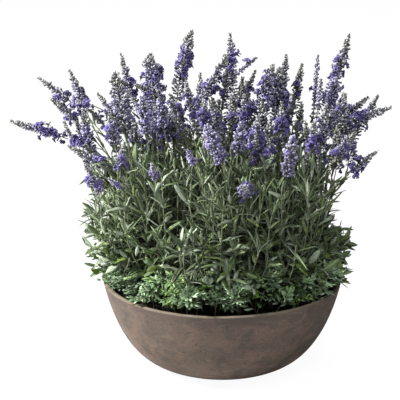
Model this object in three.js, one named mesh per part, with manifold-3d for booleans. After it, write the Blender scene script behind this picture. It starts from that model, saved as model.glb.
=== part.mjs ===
// A low round bowl planted with eight lavender plants and a ring of small lobed edging herbs.
// Millimetres, +Z up, +X to the right and +Y to the back. The origin is the centre of the bowl's flat foot.
import * as THREE from "three";
import { mergeVertices } from "three/addons/utils/BufferGeometryUtils.js";
import Module from "manifold-3d";

// Driving dimensions of the bowl and its soil.
const RIM_RADIUS = 200;
const BOWL_HEIGHT = 150;
const BOWL_CURVE_DEPTH = 152;
const BOWL_CURVE_DOWN = 1.15;
const BOWL_CURVE_ACROSS = 4.63;
const BOWL_WALL = 9;
const LIP_ROUND = 3;
const BOWL_FLOOR = 12;
const BOWL_SIDES = 40;
const SOIL_DROP = 16;
const SOIL_CROWN = 6;
const FIT_GAP = 0.4;
const SEAT_GAP = 0.3;
const SLIVER = 0.05;

// Driving dimensions of the plants.
const ROOT_RADIUS = 7;
const ROOT_DEPTH = 38;
const ROOT_HOLE_RADIUS = 8;
const BUSH_RADIUS = 27;
const BUSH_WHORLS = 7;
const LEAVES_IN_WHORL = 10;
const BUSH_LEAF_OUT = 52;
const BUSH_LEAF_IN = 36;
const BUSH_LEAF_LIFT = [0.95, 1.6];
const STEM_RADIUS = 1.5;
const STEM_STEPS = 3;
const WHORL_PITCH = 13;
const FLORETS_IN_WHORL = 5;
const HEAD_CORE_RADIUS = 3.5;
const FLORET_REACH = 6.5;
const LEAF_LENGTH = 42;
const LEAF_WIDTH = 7;
const LEAF_KEEL = 1.3;
const ROOTED_DEPTH = 3;
const SHOOTS_PER_PLANT = 4;
const PLANT_SEED = 8;

// Driving dimensions of the edging herbs round the rim.
const EDGING_PLANTS = 6;
const EDGING_RADIUS = 169;
const EDGING_ROOT_DEPTH = 20;
const EDGING_HALF_SPAN = 0.9;
const EDGING_MOUND = [10, 13];
const EDGING_SPRIGS = 5;
const SPRIG_SIDES = 5;
const SPRIG_PITCH = 13;
const SPRIG_CORE_RADIUS = 8;
const SPRIG_LEAF_REACH = 14;
const SPRIG_LEAF_LIFT = 13;
const EDGING_SEED = 31;

const SOIL_EDGE_Z = BOWL_HEIGHT - SOIL_DROP;
const SOIL_SHOULDER = [RIM_RADIUS * 0.5, SOIL_EDGE_Z + SOIL_CROWN * 0.7];
const UP = new THREE.Vector3(0, 0, 1);

const BOWL_PAINT = new THREE.MeshStandardMaterial({ color: 0x7b6a60, roughness: 0.75, metalness: 0 });
const SOIL_PAINT = new THREE.MeshStandardMaterial({ color: 0x1d1712, roughness: 0.95, metalness: 0 });
const FOLIAGE_PAINT = new THREE.MeshStandardMaterial({ color: 0x75836a, roughness: 0.8, metalness: 0 });
const FLOWER_PAINT = new THREE.MeshStandardMaterial({ color: 0x6f62a8, roughness: 0.85, metalness: 0 });
const EDGING_PAINT = new THREE.MeshStandardMaterial({ color: 0x4f7a4a, roughness: 0.7, metalness: 0 });

// The eight plants. crown is where a plant stands in the soil, lean how far its bush leans outwards at the
// top, and height the top of its bush. Each spike has the tip [x, y, z] of its flower head, the head's tilt
// from the vertical and its length. A head leans away from its plant's crown unless aim, an angle round the
// vertical, says otherwise. A side spike is too slight for a solid of its own and is one with its plant.
const PLANTS = [
  {
    name: "left",
    crown: [-97, 22],
    lean: 62,
    height: 318,
    spikes: [
      { tip: [-353, 10, 415], tilt: 72, length: 85 },
      { tip: [-310, 60, 478], tilt: 55, length: 62 },
      { tip: [-253, 20, 499], tilt: 21, length: 68 },
      { tip: [-278, -40, 465], tilt: 45, length: 55 },
      { tip: [-175, -10, 500], tilt: 9, length: 78 },
    ],
  },
  {
    name: "front_left",
    crown: [-78, -62],
    lean: 55,
    height: 300,
    spikes: [
      { tip: [-180, -70, 445], tilt: 8, length: 48 },
      { tip: [-250, -60, 390], tilt: 60, length: 65, aim: 180 },
      { tip: [-220, -110, 380], tilt: 25, length: 55 },
      { tip: [-180, -130, 355], tilt: 52, length: 34, side: true },
      { tip: [-155, -95, 405], tilt: 14, length: 52, aim: 0 },
      { tip: [-130, -60, 470], tilt: 8, length: 65 },
      { tip: [-110, -150, 385], tilt: 25, length: 30, side: true },
    ],
  },
  {
    name: "back_left",
    crown: [-43, 90],
    lean: 50,
    height: 325,
    spikes: [
      { tip: [-170, 70, 515], tilt: 12, length: 56 },
      { tip: [-122, 40, 523], tilt: 7, length: 80, aim: 180 },
      { tip: [-50, 60, 560], tilt: 13, length: 82, aim: 0 },
      { tip: [-220, 145, 435], tilt: 42, length: 60 },
      { tip: [-125, 190, 425], tilt: 40, length: 60 },
      { tip: [-40, 175, 465], tilt: 25, length: 60 },
    ],
  },
  {
    name: "centre",
    crown: [0, 5],
    lean: 5,
    height: 345,
    spikes: [
      { tip: [-105, -20, 460], tilt: 10, length: 55 },
      { tip: [-60, -30, 490], tilt: 14, length: 45, side: true },
      { tip: [11, 52, 554], tilt: 7, length: 80, aim: 120 },
      { tip: [10, 18, 530], tilt: 29, length: 70, aim: 0 },
      { tip: [80, 20, 510], tilt: 14, length: 55 },
      { tip: [35, -30, 470], tilt: 5, length: 45 },
      { tip: [-22, -38, 460], tilt: 20, length: 45, aim: 200 },
      { tip: [-85, -60, 475], tilt: 20, length: 36, side: true },
    ],
  },
  {
    name: "back_right",
    crown: [43, 90],
    lean: 50,
    height: 325,
    spikes: [
      { tip: [57, 70, 512], tilt: 50, length: 32, aim: 0, side: true },
      { tip: [55, 95, 485], tilt: 22, length: 46, aim: 0 },
      { tip: [105, 60, 520], tilt: 5, length: 55 },
      { tip: [131, 50, 506], tilt: 9, length: 58 },
      { tip: [40, 180, 450], tilt: 30, length: 60 },
      { tip: [130, 170, 435], tilt: 40, length: 60 },
    ],
  },
  {
    name: "right",
    crown: [97, 22],
    lean: 60,
    height: 318,
    spikes: [
      { tip: [156, 40, 518], tilt: 3, length: 75 },
      { tip: [160, 0, 490], tilt: 5, length: 36, side: true },
      { tip: [209, 70, 552], tilt: 18, length: 80 },
      { tip: [184, 12, 490], tilt: 9, length: 50 },
      { tip: [198, -22, 470], tilt: 5, length: 30, side: true },
      { tip: [260, 60, 450], tilt: 30, length: 45 },
      { tip: [240, 20, 455], tilt: 50, length: 40 },
      { tip: [275, -12, 445], tilt: 67, length: 66 },
      { tip: [205, 140, 425], tilt: 40, length: 55 },
    ],
  },
  {
    name: "front_right",
    crown: [78, -62],
    lean: 55,
    height: 300,
    spikes: [
      { tip: [212, -62, 415], tilt: 35, length: 45 },
      { tip: [247, -70, 385], tilt: 50, length: 45 },
      { tip: [110, -130, 425], tilt: 9, length: 55, aim: 0 },
      { tip: [145, -90, 440], tilt: 5, length: 36 },
      { tip: [95, -40, 460], tilt: 3, length: 50 },
    ],
  },
  {
    name: "front",
    crown: [0, -100],
    lean: 42,
    height: 300,
    spikes: [
      { tip: [-30, -72, 470], tilt: 5, length: 38 },
      { tip: [-25, -130, 440], tilt: 21, length: 60, aim: 180 },
      { tip: [30, -112, 440], tilt: 7, length: 46 },
      { tip: [56, -80, 445], tilt: 7, length: 58 },
      { tip: [35, -172, 365], tilt: 50, length: 36, aim: 270 },
      { tip: [-55, -142, 405], tilt: 26, length: 28, side: true },
    ],
  },
];

const wasm = await Module();
wasm.setup();

// A repeatable stream of numbers from 0 to 1 for a seed.
function seededRandom(seed) {
  let state = seed >>> 0;
  return () => {
    state = (state + 0x6d2b79f5) >>> 0;
    let mixed = Math.imul(state ^ (state >>> 15), state | 1);
    mixed ^= mixed + Math.imul(mixed ^ (mixed >>> 7), mixed | 61);
    return ((mixed ^ (mixed >>> 14)) >>> 0) / 4294967296;
  };
}

function solidOf(geometry) {
  const bare = geometry.clone();
  bare.deleteAttribute("normal");
  bare.deleteAttribute("uv");
  const merged = mergeVertices(bare, 1e-3);
  const mesh = new wasm.Mesh({
    numProp: 3,
    vertProperties: merged.attributes.position.array,
    triVerts: new Uint32Array(merged.index.array),
  });
  return new wasm.Manifold(mesh);
}

function geometryOf(solid) {
  const mesh = solid.getMesh();
  const geometry = new THREE.BufferGeometry();
  geometry.setAttribute("position", new THREE.BufferAttribute(new Float32Array(mesh.vertProperties), 3));
  geometry.setIndex(new THREE.BufferAttribute(new Uint32Array(mesh.triVerts), 1));
  geometry.computeVertexNormals();
  return geometry;
}

// One body of several: a hollow that the join seals is filled, and a loose scrap is dropped.
function fused(solids) {
  const shells = wasm.Manifold.union(solids).simplify(SLIVER).decompose();
  return shells.reduce((largest, shell) => (shell.volume() > largest.volume() ? shell : largest));
}

function facesGeometry(points, faces) {
  const geometry = new THREE.BufferGeometry();
  geometry.setAttribute("position", new THREE.Float32BufferAttribute(points.flatMap((p) => p.toArray()), 3));
  geometry.setIndex(faces.flat());
  return geometry;
}

function direction(tiltDegrees, aimDegrees) {
  const tilt = THREE.MathUtils.degToRad(tiltDegrees);
  const aim = THREE.MathUtils.degToRad(aimDegrees);
  return new THREE.Vector3(Math.sin(tilt) * Math.cos(aim), Math.sin(tilt) * Math.sin(aim), Math.cos(tilt));
}

// Turns a profile of [radius, height] points about the Z axis.
function turned(profile) {
  const points = profile.map(([radius, height]) => new THREE.Vector2(radius, height));
  return new THREE.LatheGeometry(points, BOWL_SIDES).rotateX(Math.PI / 2);
}

// Points down a bowl wall from the height top to the height bottom. The wall is a blunted ellipse: the share
// of its radius to the power ACROSS and the share of its depth to the power DOWN add up to one.
function wallCurve(inset, top, bottom, steps) {
  const across = RIM_RADIUS - inset;
  const down = BOWL_CURVE_DEPTH - inset;
  const angleAt = (z) => Math.asin(((BOWL_HEIGHT - z) / down) ** (BOWL_CURVE_DOWN / 2));
  return Array.from({ length: steps + 1 }, (_, i) => {
    const angle = THREE.MathUtils.lerp(angleAt(top), angleAt(bottom), i / steps);
    const radius = across * Math.cos(angle) ** (2 / BOWL_CURVE_ACROSS);
    return [radius, BOWL_HEIGHT - down * Math.sin(angle) ** (2 / BOWL_CURVE_DOWN)];
  });
}

function bowlGeometry() {
  const outer = wallCurve(0, BOWL_HEIGHT - LIP_ROUND, 0, 7).reverse();
  const inner = wallCurve(BOWL_WALL, BOWL_HEIGHT - LIP_ROUND, SOIL_EDGE_Z, 1);
  inner.push(...wallCurve(BOWL_WALL, SOIL_EDGE_Z, BOWL_FLOOR, 4).slice(1));
  const lip = [
    [RIM_RADIUS - LIP_ROUND, BOWL_HEIGHT],
    [RIM_RADIUS - BOWL_WALL + LIP_ROUND, BOWL_HEIGHT],
  ];
  return turned([[0, 0], ...outer, ...lip, ...inner, [0, BOWL_FLOOR]]);
}

// The soil fills the bowl to below its lip, with a plain hole for each root.
function soilGeometry(rootPlaces) {
  const wall = wallCurve(BOWL_WALL, SOIL_EDGE_Z, BOWL_FLOOR, 4)
    .map(([radius, z], i) => [radius - FIT_GAP, i === 0 ? z : z + FIT_GAP])
    .reverse();
  const top = [SOIL_SHOULDER, [0, SOIL_EDGE_Z + SOIL_CROWN]];
  let soil = solidOf(turned([[0, BOWL_FLOOR + FIT_GAP], ...wall, ...top]));
  for (const [x, y, depth] of rootPlaces) {
    const deep = depth + SOIL_CROWN;
    const hole = new THREE.CylinderGeometry(ROOT_HOLE_RADIUS, ROOT_HOLE_RADIUS, deep, 8).rotateX(Math.PI / 2);
    soil = soil.subtract(solidOf(hole.translate(x, y, SOIL_EDGE_Z - depth + deep / 2)));
  }
  return geometryOf(soil);
}

// A closed skin over rings of points that share one count, each ring going round the same way.
function skinOver(rings) {
  const count = rings[0].length;
  const faces = [];
  for (let r = 0; r + 1 < rings.length; r++) {
    for (let i = 0; i < count; i++) {
      const a = r * count + i;
      const b = r * count + ((i + 1) % count);
      faces.push([a, b, b + count], [a, b + count, a + count]);
    }
  }
  const last = (rings.length - 1) * count;
  for (let i = 1; i + 1 < count; i++) {
    faces.push([0, i + 1, i], [last, last + i, last + i + 1]);
  }
  return facesGeometry(rings.flat(), faces);
}

// A point on the middle line of a plant's bush: it leans outwards more and more with height.
function bushMiddle(plant, z) {
  const [x, y] = plant.crown;
  const out = new THREE.Vector3(x, y, 0).normalize();
  const base = SOIL_EDGE_Z + SOIL_CROWN + 2;
  const share = Math.max(0, (z - base) / (plant.height - base));
  return new THREE.Vector3(x, y, z).addScaledVector(out, plant.lean * share ** 1.4);
}

// A ring of points round a middle, count of them, the first turned by a share of one step.
function ringRound(middle, radius, count, turn) {
  return Array.from({ length: count }, (_, i) => {
    const angle = ((i + turn) / count) * 2 * Math.PI;
    return new THREE.Vector3(Math.cos(angle) * radius, Math.sin(angle) * radius, 0).add(middle);
  });
}

// A closed skin of whorls: between each ring and the next, every side of the core is drawn out to a point.
function whorledGeometry(rings, points, end) {
  const n = rings[0].length;
  const vertices = [...rings.flat(), ...points.flat(), end];
  const firstPoint = rings.length * n;
  const faces = [];
  for (let i = 1; i + 1 < n; i++) faces.push([0, i + 1, i]);
  points.forEach((_, k) => {
    for (let i = 0; i < n; i++) {
      const a = k * n + i;
      const b = k * n + ((i + 1) % n);
      const point = firstPoint + a;
      faces.push([a, b, point], [b, b + n, point], [b + n, a + n, point], [a + n, a, point]);
    }
  });
  const last = firstPoint - n;
  for (let i = 0; i < n; i++) faces.push([last + i, last + ((i + 1) % n), vertices.length - 1]);
  return facesGeometry(vertices, faces);
}

// A plant's root in its hole.
function rootSolid(x, y, depth) {
  const tall = depth + SOIL_CROWN + 12;
  const root = new THREE.CylinderGeometry(ROOT_RADIUS, ROOT_RADIUS, tall, 8).rotateX(Math.PI / 2);
  return solidOf(root.translate(x, y, SOIL_EDGE_Z - depth + FIT_GAP + tall / 2));
}

// The bush: whorls of leaves from the soil to the flower stems. They reach furthest to the outside of the
// pot, and each is as long as the room between it and its neighbours allows.
function bushGeometry(plant, random) {
  const low = SOIL_EDGE_Z + SOIL_CROWN + 2;
  const heightAt = (k) => THREE.MathUtils.lerp(low, plant.height, k / BUSH_WHORLS);
  const coreAt = (k) => BUSH_RADIUS * Math.sin(Math.PI * (0.22 + (0.68 * k) / BUSH_WHORLS));
  const outwards = Math.hypot(...plant.crown) > 20 ? Math.atan2(plant.crown[1], plant.crown[0]) : null;
  const rings = [];
  const points = [];
  for (let k = 0; k <= BUSH_WHORLS; k++) {
    rings.push(ringRound(bushMiddle(plant, heightAt(k)), coreAt(k), LEAVES_IN_WHORL, k * 0.5));
    if (k === BUSH_WHORLS) break;
    const z = heightAt(k + 0.5);
    const core = coreAt(k + 0.5);
    const lift = THREE.MathUtils.lerp(...BUSH_LEAF_LIFT, k / BUSH_WHORLS);
    const whorl = Array.from({ length: LEAVES_IN_WHORL }, (_, i) => {
      const angle = ((i + 0.75 + k * 0.5) / LEAVES_IN_WHORL) * 2 * Math.PI;
      const facing = outwards === null ? 0.3 : Math.max(0, Math.cos(angle - outwards));
      const full = THREE.MathUtils.lerp(BUSH_LEAF_IN, BUSH_LEAF_OUT, facing) * (0.72 + 0.4 * random());
      const from = bushMiddle(plant, z).add(new THREE.Vector3(Math.cos(angle), Math.sin(angle), 0).multiplyScalar(core));
      const tipAt = (reach) => {
        const out = new THREE.Vector3(Math.cos(angle), Math.sin(angle), 0).multiplyScalar(core + reach);
        return bushMiddle(plant, z + reach * lift).add(out);
      };
      const shares = [1, 0.85, 0.7, 0.55, 0.4, 0.25];
      const share = shares.find((part) => {
        const tip = tipAt(full * part);
        const half = from.clone().lerp(tip, 0.5);
        return isClear(from, half, 7, plant.name) && isClear(half, tip, 4, plant.name);
      });
      const tip = tipAt(full * (share ?? 0.12));
      const half = from.clone().lerp(tip, 0.5);
      takeRoom(from, half, 6, plant.name);
      takeRoom(half, tip, 3, plant.name);
      return tip;
    });
    points.push(whorl);
  }
  return whorledGeometry(rings, points, bushMiddle(plant, plant.height + 22));
}

// A flower head along +Z: whorls of pointed florets, the lower ones longer where they stand open, tapering
// to a bud at the tip.
function headGeometry(length, random) {
  const whorls = Math.max(3, Math.round(length / WHORL_PITCH));
  const pitch = length / (whorls + 0.7);
  const rings = [];
  const points = [];
  for (let k = 0; k <= whorls; k++) {
    const share = k / whorls;
    const core = k === 0 ? STEM_RADIUS : HEAD_CORE_RADIUS * (1 - 0.6 * share);
    rings.push(ringRound(new THREE.Vector3(0, 0, pitch * k), core, FLORETS_IN_WHORL, k * 0.5));
    if (k === whorls) break;
    const whorl = ringRound(new THREE.Vector3(), 1, FLORETS_IN_WHORL, k * 0.5 + 0.75).map((way) => {
      const open = share < 0.65 ? 0.9 + 0.55 * random() : 0.95 + 0.2 * random();
      const reach = HEAD_CORE_RADIUS + FLORET_REACH * (1 - 0.7 * share) * open;
      return way.multiplyScalar(reach).setZ(pitch * (k + 0.85));
    });
    points.push(whorl);
  }
  return whorledGeometry(rings, points, new THREE.Vector3(0, 0, length));
}

// A narrow keeled leaf from its sunk root to its tip, arched so that its middle stands off its chord.
function leafGeometry(root, tip, width, archUp) {
  const along = tip.clone().sub(root).normalize();
  const side = new THREE.Vector3().crossVectors(along, archUp).normalize();
  const face = new THREE.Vector3().crossVectors(side, along).normalize();
  const middle = root.clone().lerp(tip, 0.55).addScaledVector(face, root.distanceTo(tip) * 0.07);
  const points = [
    root,
    tip,
    middle.clone().addScaledVector(side, width / 2),
    middle.clone().addScaledVector(side, -width / 2),
    middle.clone().addScaledVector(face, -LEAF_KEEL),
  ];
  return facesGeometry(points, [
    [0, 2, 3],
    [1, 3, 2],
    [0, 4, 2],
    [1, 2, 4],
    [0, 3, 4],
    [1, 4, 3],
  ]);
}

// A three-sided stem along a curve.
function stemGeometry(curve, steps) {
  const section = new THREE.Shape(
    [0, 1, 2].map((i) => {
      const angle = (i * 2 * Math.PI) / 3;
      return new THREE.Vector2(Math.cos(angle) * STEM_RADIUS, Math.sin(angle) * STEM_RADIUS);
    }),
  );
  return new THREE.ExtrudeGeometry(section, { steps, extrudePath: curve, bevelEnabled: false });
}

// Room already taken, as rods with a radius, so that no piece grows through a piece of another plant.
const rods = [];

function segmentGap(a, b, c, d) {
  const u = b.clone().sub(a);
  const v = d.clone().sub(c);
  const w = a.clone().sub(c);
  const uu = u.dot(u);
  const uv = u.dot(v);
  const vv = v.dot(v);
  const cross = uu * vv - uv * uv;
  let s = cross > 1e-9 ? THREE.MathUtils.clamp((uv * v.dot(w) - vv * u.dot(w)) / cross, 0, 1) : 0;
  const t = THREE.MathUtils.clamp((uv * s + v.dot(w)) / vv, 0, 1);
  s = THREE.MathUtils.clamp((uv * t - u.dot(w)) / uu, 0, 1);
  return a.clone().addScaledVector(u, s).distanceTo(c.clone().addScaledVector(v, t));
}

// True if a rod clears every rod of another plant by its margin, and its own plant's leaves too.
function isClear(from, to, radius, owner) {
  return rods.every((rod) => {
    if (rod.owner === owner && !rod.leaf) return true;
    return segmentGap(from, to, rod.from, rod.to) > radius + rod.radius + (rod.owner === owner ? 0 : 0.6);
  });
}

function takeRoom(from, to, radius, owner, leaf = false) {
  rods.push({ from: from.clone(), to: to.clone(), radius, owner, leaf });
}

function takeCurve(points, radius, owner) {
  for (let i = 0; i + 1 < points.length; i++) takeRoom(points[i], points[i + 1], radius, owner);
}

// Everything about a spike that follows from its row: its direction, foot and stem.
function spikeLayout(plant, spike) {
  const [x, y, z] = spike.tip;
  const outwards = THREE.MathUtils.radToDeg(Math.atan2(y - plant.crown[1], x - plant.crown[0]));
  const aim = direction(spike.tilt, spike.aim ?? outwards);
  const tip = new THREE.Vector3(x, y, z);
  const foot = tip.clone().addScaledVector(aim, -spike.length);
  const start = bushMiddle(plant, THREE.MathUtils.lerp(SOIL_EDGE_Z, plant.height, 0.62));
  const end = foot.clone().addScaledVector(aim, spike.side ? ROOTED_DEPTH : -SEAT_GAP);
  const knee = foot.clone().addScaledVector(aim, -0.42 * foot.distanceTo(start));
  return { tip, foot, aim, stem: new THREE.QuadraticBezierCurve3(start, knee, end) };
}

// Leaves in opposite pairs along a stem, from one share of its length to another, where there is room.
function leafPairs(curve, shares, owner, random) {
  const leaves = [];
  shares.forEach((share, pair) => {
    const at = curve.getPointAt(share);
    const along = curve.getTangentAt(share);
    const flat = new THREE.Vector3().crossVectors(along, Math.abs(along.z) > 0.95 ? new THREE.Vector3(1, 0, 0) : UP);
    for (const half of [0, Math.PI]) {
      for (let attempt = 0; attempt < 8; attempt++) {
        const turn = half + pair * 1.57 + (random() - 0.5) * (0.6 + attempt * 0.5);
        const sideways = flat.clone().normalize().applyAxisAngle(along, turn);
        const spread = 0.45 + 0.3 * random();
        const grow = along.clone().multiplyScalar(Math.cos(spread)).addScaledVector(sideways, Math.sin(spread));
        const tip = at.clone().addScaledVector(grow, LEAF_LENGTH * (0.8 + 0.4 * random()));
        const near = at.clone().addScaledVector(grow, STEM_RADIUS * 2.5);
        if (!isClear(near, tip, LEAF_WIDTH * 0.36, owner)) continue;
        takeRoom(near, tip, LEAF_WIDTH * 0.3, owner, true);
        leaves.push(solidOf(leafGeometry(at, tip, LEAF_WIDTH, along)));
        break;
      }
    }
  });
  return leaves;
}

// A short leafy shoot out of the bush, ending in a leaf.
function leafyShoot(plant, number, random) {
  for (let attempt = 0; attempt < 12; attempt++) {
    const round = ((number + 0.7 * random()) / SHOOTS_PER_PLANT) * 360 * 2.5;
    const height = THREE.MathUtils.lerp(0.18, 0.8, (number + 0.3 * random()) / SHOOTS_PER_PLANT);
    const start = bushMiddle(plant, THREE.MathUtils.lerp(SOIL_EDGE_Z, plant.height, height));
    const outer = bushMiddle(plant, plant.height).sub(bushMiddle(plant, SOIL_EDGE_Z)).normalize();
    const grow = direction(34 + 26 * random(), round).lerp(outer, 0.35).normalize();
    const end = start.clone().addScaledVector(grow, 62 + 26 * random());
    const tip = end.clone().addScaledVector(grow, LEAF_LENGTH * 0.7);
    const outside = start.clone().addScaledVector(grow, BUSH_RADIUS * 0.7);
    if (tip.z < BOWL_HEIGHT + 22) continue;
    if (!isClear(outside, tip, LEAF_WIDTH * 0.4, plant.name)) continue;
    takeRoom(outside, tip, LEAF_WIDTH * 0.3, plant.name, true);
    const middle = start.clone().lerp(end, 0.5);
    const curve = new THREE.QuadraticBezierCurve3(start, middle, end);
    const last = end.clone().addScaledVector(grow, -ROOTED_DEPTH * 2);
    const side = new THREE.Vector3().crossVectors(grow, UP);
    return [
      solidOf(stemGeometry(new THREE.LineCurve3(start, end), 1)),
      solidOf(leafGeometry(last, tip, LEAF_WIDTH, side)),
      ...leafPairs(curve, [0.62, 0.88], plant.name, random),
    ];
  }
  return [];
}

function placed(name, geometry, paint, position) {
  const mesh = new THREE.Mesh(geometry, paint);
  mesh.name = name;
  mesh.position.copy(position);
  return mesh;
}

// The wide part of a head and its thin end, as the room that it takes.
function takeHeadRoom({ foot, aim }, length, owner) {
  const widest = foot.clone().addScaledVector(aim, length * 0.6);
  takeRoom(foot, widest, HEAD_CORE_RADIUS + 9.5, owner);
  takeRoom(widest, foot.clone().addScaledVector(aim, length), HEAD_CORE_RADIUS + 4, owner);
}

// One plant: its bush, stems, shoots, leaves and side spikes as one body, and each flower head by itself.
function growPlant(plant, layouts, random) {
  const group = new THREE.Group();
  const crown = new THREE.Vector3(...plant.crown, SOIL_EDGE_Z);
  const solids = [rootSolid(...plant.crown, ROOT_DEPTH), solidOf(bushGeometry(plant, random))];
  let number = 0;
  plant.spikes.forEach((spike, i) => {
    const layout = layouts[i];
    const head = headGeometry(spike.length, random);
    const turn = new THREE.Quaternion().setFromUnitVectors(UP, layout.aim);
    solids.push(solidOf(stemGeometry(layout.stem, STEM_STEPS)));
    if (spike.side) {
      solids.push(solidOf(head.applyQuaternion(turn).translate(...layout.foot.toArray())));
      return;
    }
    number += 1;
    const mesh = placed(`spike_${plant.name}_${number}`, head, FLOWER_PAINT, layout.foot);
    mesh.quaternion.copy(turn);
    group.add(mesh);
  });
  for (let i = 0; i < SHOOTS_PER_PLANT; i++) solids.push(...leafyShoot(plant, i, random));
  for (const { stem } of layouts) solids.push(...leafPairs(stem, [0.5], plant.name, random));
  const joined = fused(solids);
  const shape = geometryOf(joined).translate(-crown.x, -crown.y, -crown.z);
  group.add(placed(`lavender_${plant.name}`, shape, FOLIAGE_PAINT, crown));
  return [group, joined];
}

// One sprig of an edging herb, upright along +Z: two whorls of short broad leaves and a bud.
function sprigGeometry(size, random) {
  const cores = [0.8, 1, 0.55].map((share) => share * SPRIG_CORE_RADIUS);
  const rings = cores.map((core, k) => ringRound(new THREE.Vector3(0, 0, k * SPRIG_PITCH), core, SPRIG_SIDES, k * 0.5));
  const points = [0, 1].map((k) =>
    ringRound(new THREE.Vector3(), 1, SPRIG_SIDES, k * 0.5 + 0.75).map((way) => {
      const reach = SPRIG_CORE_RADIUS + SPRIG_LEAF_REACH * (k === 0 ? 1 : 0.72) * (0.8 + 0.4 * random());
      return way.multiplyScalar(reach).setZ(SPRIG_PITCH * (k + 0.5) + SPRIG_LEAF_LIFT);
    }),
  );
  const sprig = whorledGeometry(rings, points, new THREE.Vector3(0, 0, SPRIG_PITCH * 3.1));
  return sprig.scale(size, size, size);
}

// The height of the soil's sloping top at a distance from the middle of the bowl.
function soilTop(radius) {
  const [shoulderRadius, shoulderZ] = SOIL_SHOULDER;
  const [[inner]] = wallCurve(BOWL_WALL, SOIL_EDGE_Z, BOWL_FLOOR, 1);
  return THREE.MathUtils.mapLinear(radius, shoulderRadius, inner, shoulderZ, SOIL_EDGE_Z);
}

function onRing(angle, radius, z) {
  return new THREE.Vector3(Math.cos(angle) * radius, Math.sin(angle) * radius, z);
}

// The low mound along the rim that an edging herb's sprigs stand in, with its root.
function moundSolid(number) {
  const sweep = (2 * Math.PI) / EDGING_PLANTS;
  const middle = (number + 0.5) * sweep;
  const [half, tall] = EDGING_MOUND;
  const rings = [-1, -0.6, -0.2, 0.2, 0.6, 1].map((place) => {
    const angle = middle + (place * EDGING_HALF_SPAN * sweep) / 2;
    const thick = 1 - 0.35 * place * place;
    const inner = EDGING_RADIUS - half * thick;
    const outer = EDGING_RADIUS + half * thick;
    return [
      onRing(angle, inner, soilTop(inner) + FIT_GAP),
      onRing(angle, inner, soilTop(inner) + tall * 0.6 * thick),
      onRing(angle, EDGING_RADIUS, SOIL_EDGE_Z + tall * thick),
      onRing(angle, outer, soilTop(outer) + tall * 0.6 * thick),
      onRing(angle, outer, soilTop(outer) + FIT_GAP),
    ];
  });
  const root = onRing(middle, EDGING_RADIUS, 0);
  return solidOf(skinOver(rings)).add(rootSolid(root.x, root.y, EDGING_ROOT_DEPTH));
}

// An edging herb's mound with its sprigs in two rows, each as large as the pieces round it leave room for.
function edgingSolid(number, mound, others, random) {
  const sweep = (2 * Math.PI) / EDGING_PLANTS;
  const solids = [mound];
  for (let i = 0; i < EDGING_SPRIGS; i++) {
    const place = ((i + 0.5) / EDGING_SPRIGS) * 2 - 1;
    const angle = (number + 0.5) * sweep + (place * EDGING_HALF_SPAN * sweep) / 2;
    const start = onRing(angle, EDGING_RADIUS + (i % 2 ? 0.6 : -0.6) * EDGING_MOUND[0], SOIL_EDGE_Z + 5);
    for (let attempt = 0; attempt < 40; attempt++) {
      const size = 1.25 - 0.015 * attempt;
      const grow = direction(16 * random(), THREE.MathUtils.radToDeg(angle) + 120 * (random() - 0.5));
      const turn = new THREE.Quaternion().setFromUnitVectors(UP, grow);
      const sprig = sprigGeometry(size, random).rotateZ(6.28 * random()).applyQuaternion(turn);
      const solid = solidOf(sprig.translate(...start.toArray()));
      if ([...others, ...solids.slice(1)].some((other) => solid.minGap(other, 1) < FIT_GAP)) continue;
      solids.push(solid);
      break;
    }
  }
  return fused(solids);
}

function build() {
  const pot = new THREE.Group();
  const random = seededRandom(PLANT_SEED);
  const edgingRandom = seededRandom(EDGING_SEED);
  const edgingNumbers = Array.from({ length: EDGING_PLANTS }, (_, i) => i);
  const origin = new THREE.Vector3();
  const edgingRoots = edgingNumbers.map((i) => {
    const root = onRing(((i + 0.5) / EDGING_PLANTS) * 2 * Math.PI, EDGING_RADIUS, 0);
    return [root.x, root.y, EDGING_ROOT_DEPTH];
  });
  const bowl = bowlGeometry();
  pot.add(placed("bowl", bowl, BOWL_PAINT, origin));
  const roots = [...PLANTS.map((plant) => [...plant.crown, ROOT_DEPTH]), ...edgingRoots];
  pot.add(placed("soil", soilGeometry(roots), SOIL_PAINT, origin));

  const layouts = PLANTS.map((plant) => plant.spikes.map((spike) => spikeLayout(plant, spike)));
  PLANTS.forEach((plant, i) => {
    const heights = [0, 0.25, 0.5, 0.75].map((share) => THREE.MathUtils.lerp(SOIL_EDGE_Z, plant.height, share));
    takeCurve(heights.map((z) => bushMiddle(plant, z)), BUSH_RADIUS, plant.name);
    layouts[i].forEach((layout, k) => {
      const spike = plant.spikes[k];
      takeCurve(layout.stem.getPoints(8), STEM_RADIUS, plant.name);
      takeHeadRoom(layout, spike.length, spike.side ? plant.name : `${plant.name} head ${k}`);
    });
  });
  const grown = PLANTS.map((plant, i) => {
    const [group, solid] = growPlant(plant, layouts[i], random);
    pot.add(group);
    return solid;
  });
  const edging = edgingNumbers.map(moundSolid);
  for (const i of edgingNumbers) {
    const others = [solidOf(bowl), ...grown, ...edging.filter((_, other) => other !== i)];
    edging[i] = edgingSolid(i, edging[i], others, edgingRandom);
    pot.add(placed(`edging_herb_${i + 1}`, geometryOf(edging[i]), EDGING_PAINT, origin));
  }
  return pot;
}

const pottedLavender = build();

export default pottedLavender;
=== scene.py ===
"""Potted lavender: a low stoneware bowl of flowering lavender ringed by a small lobed edging herb."""
import math

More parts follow.
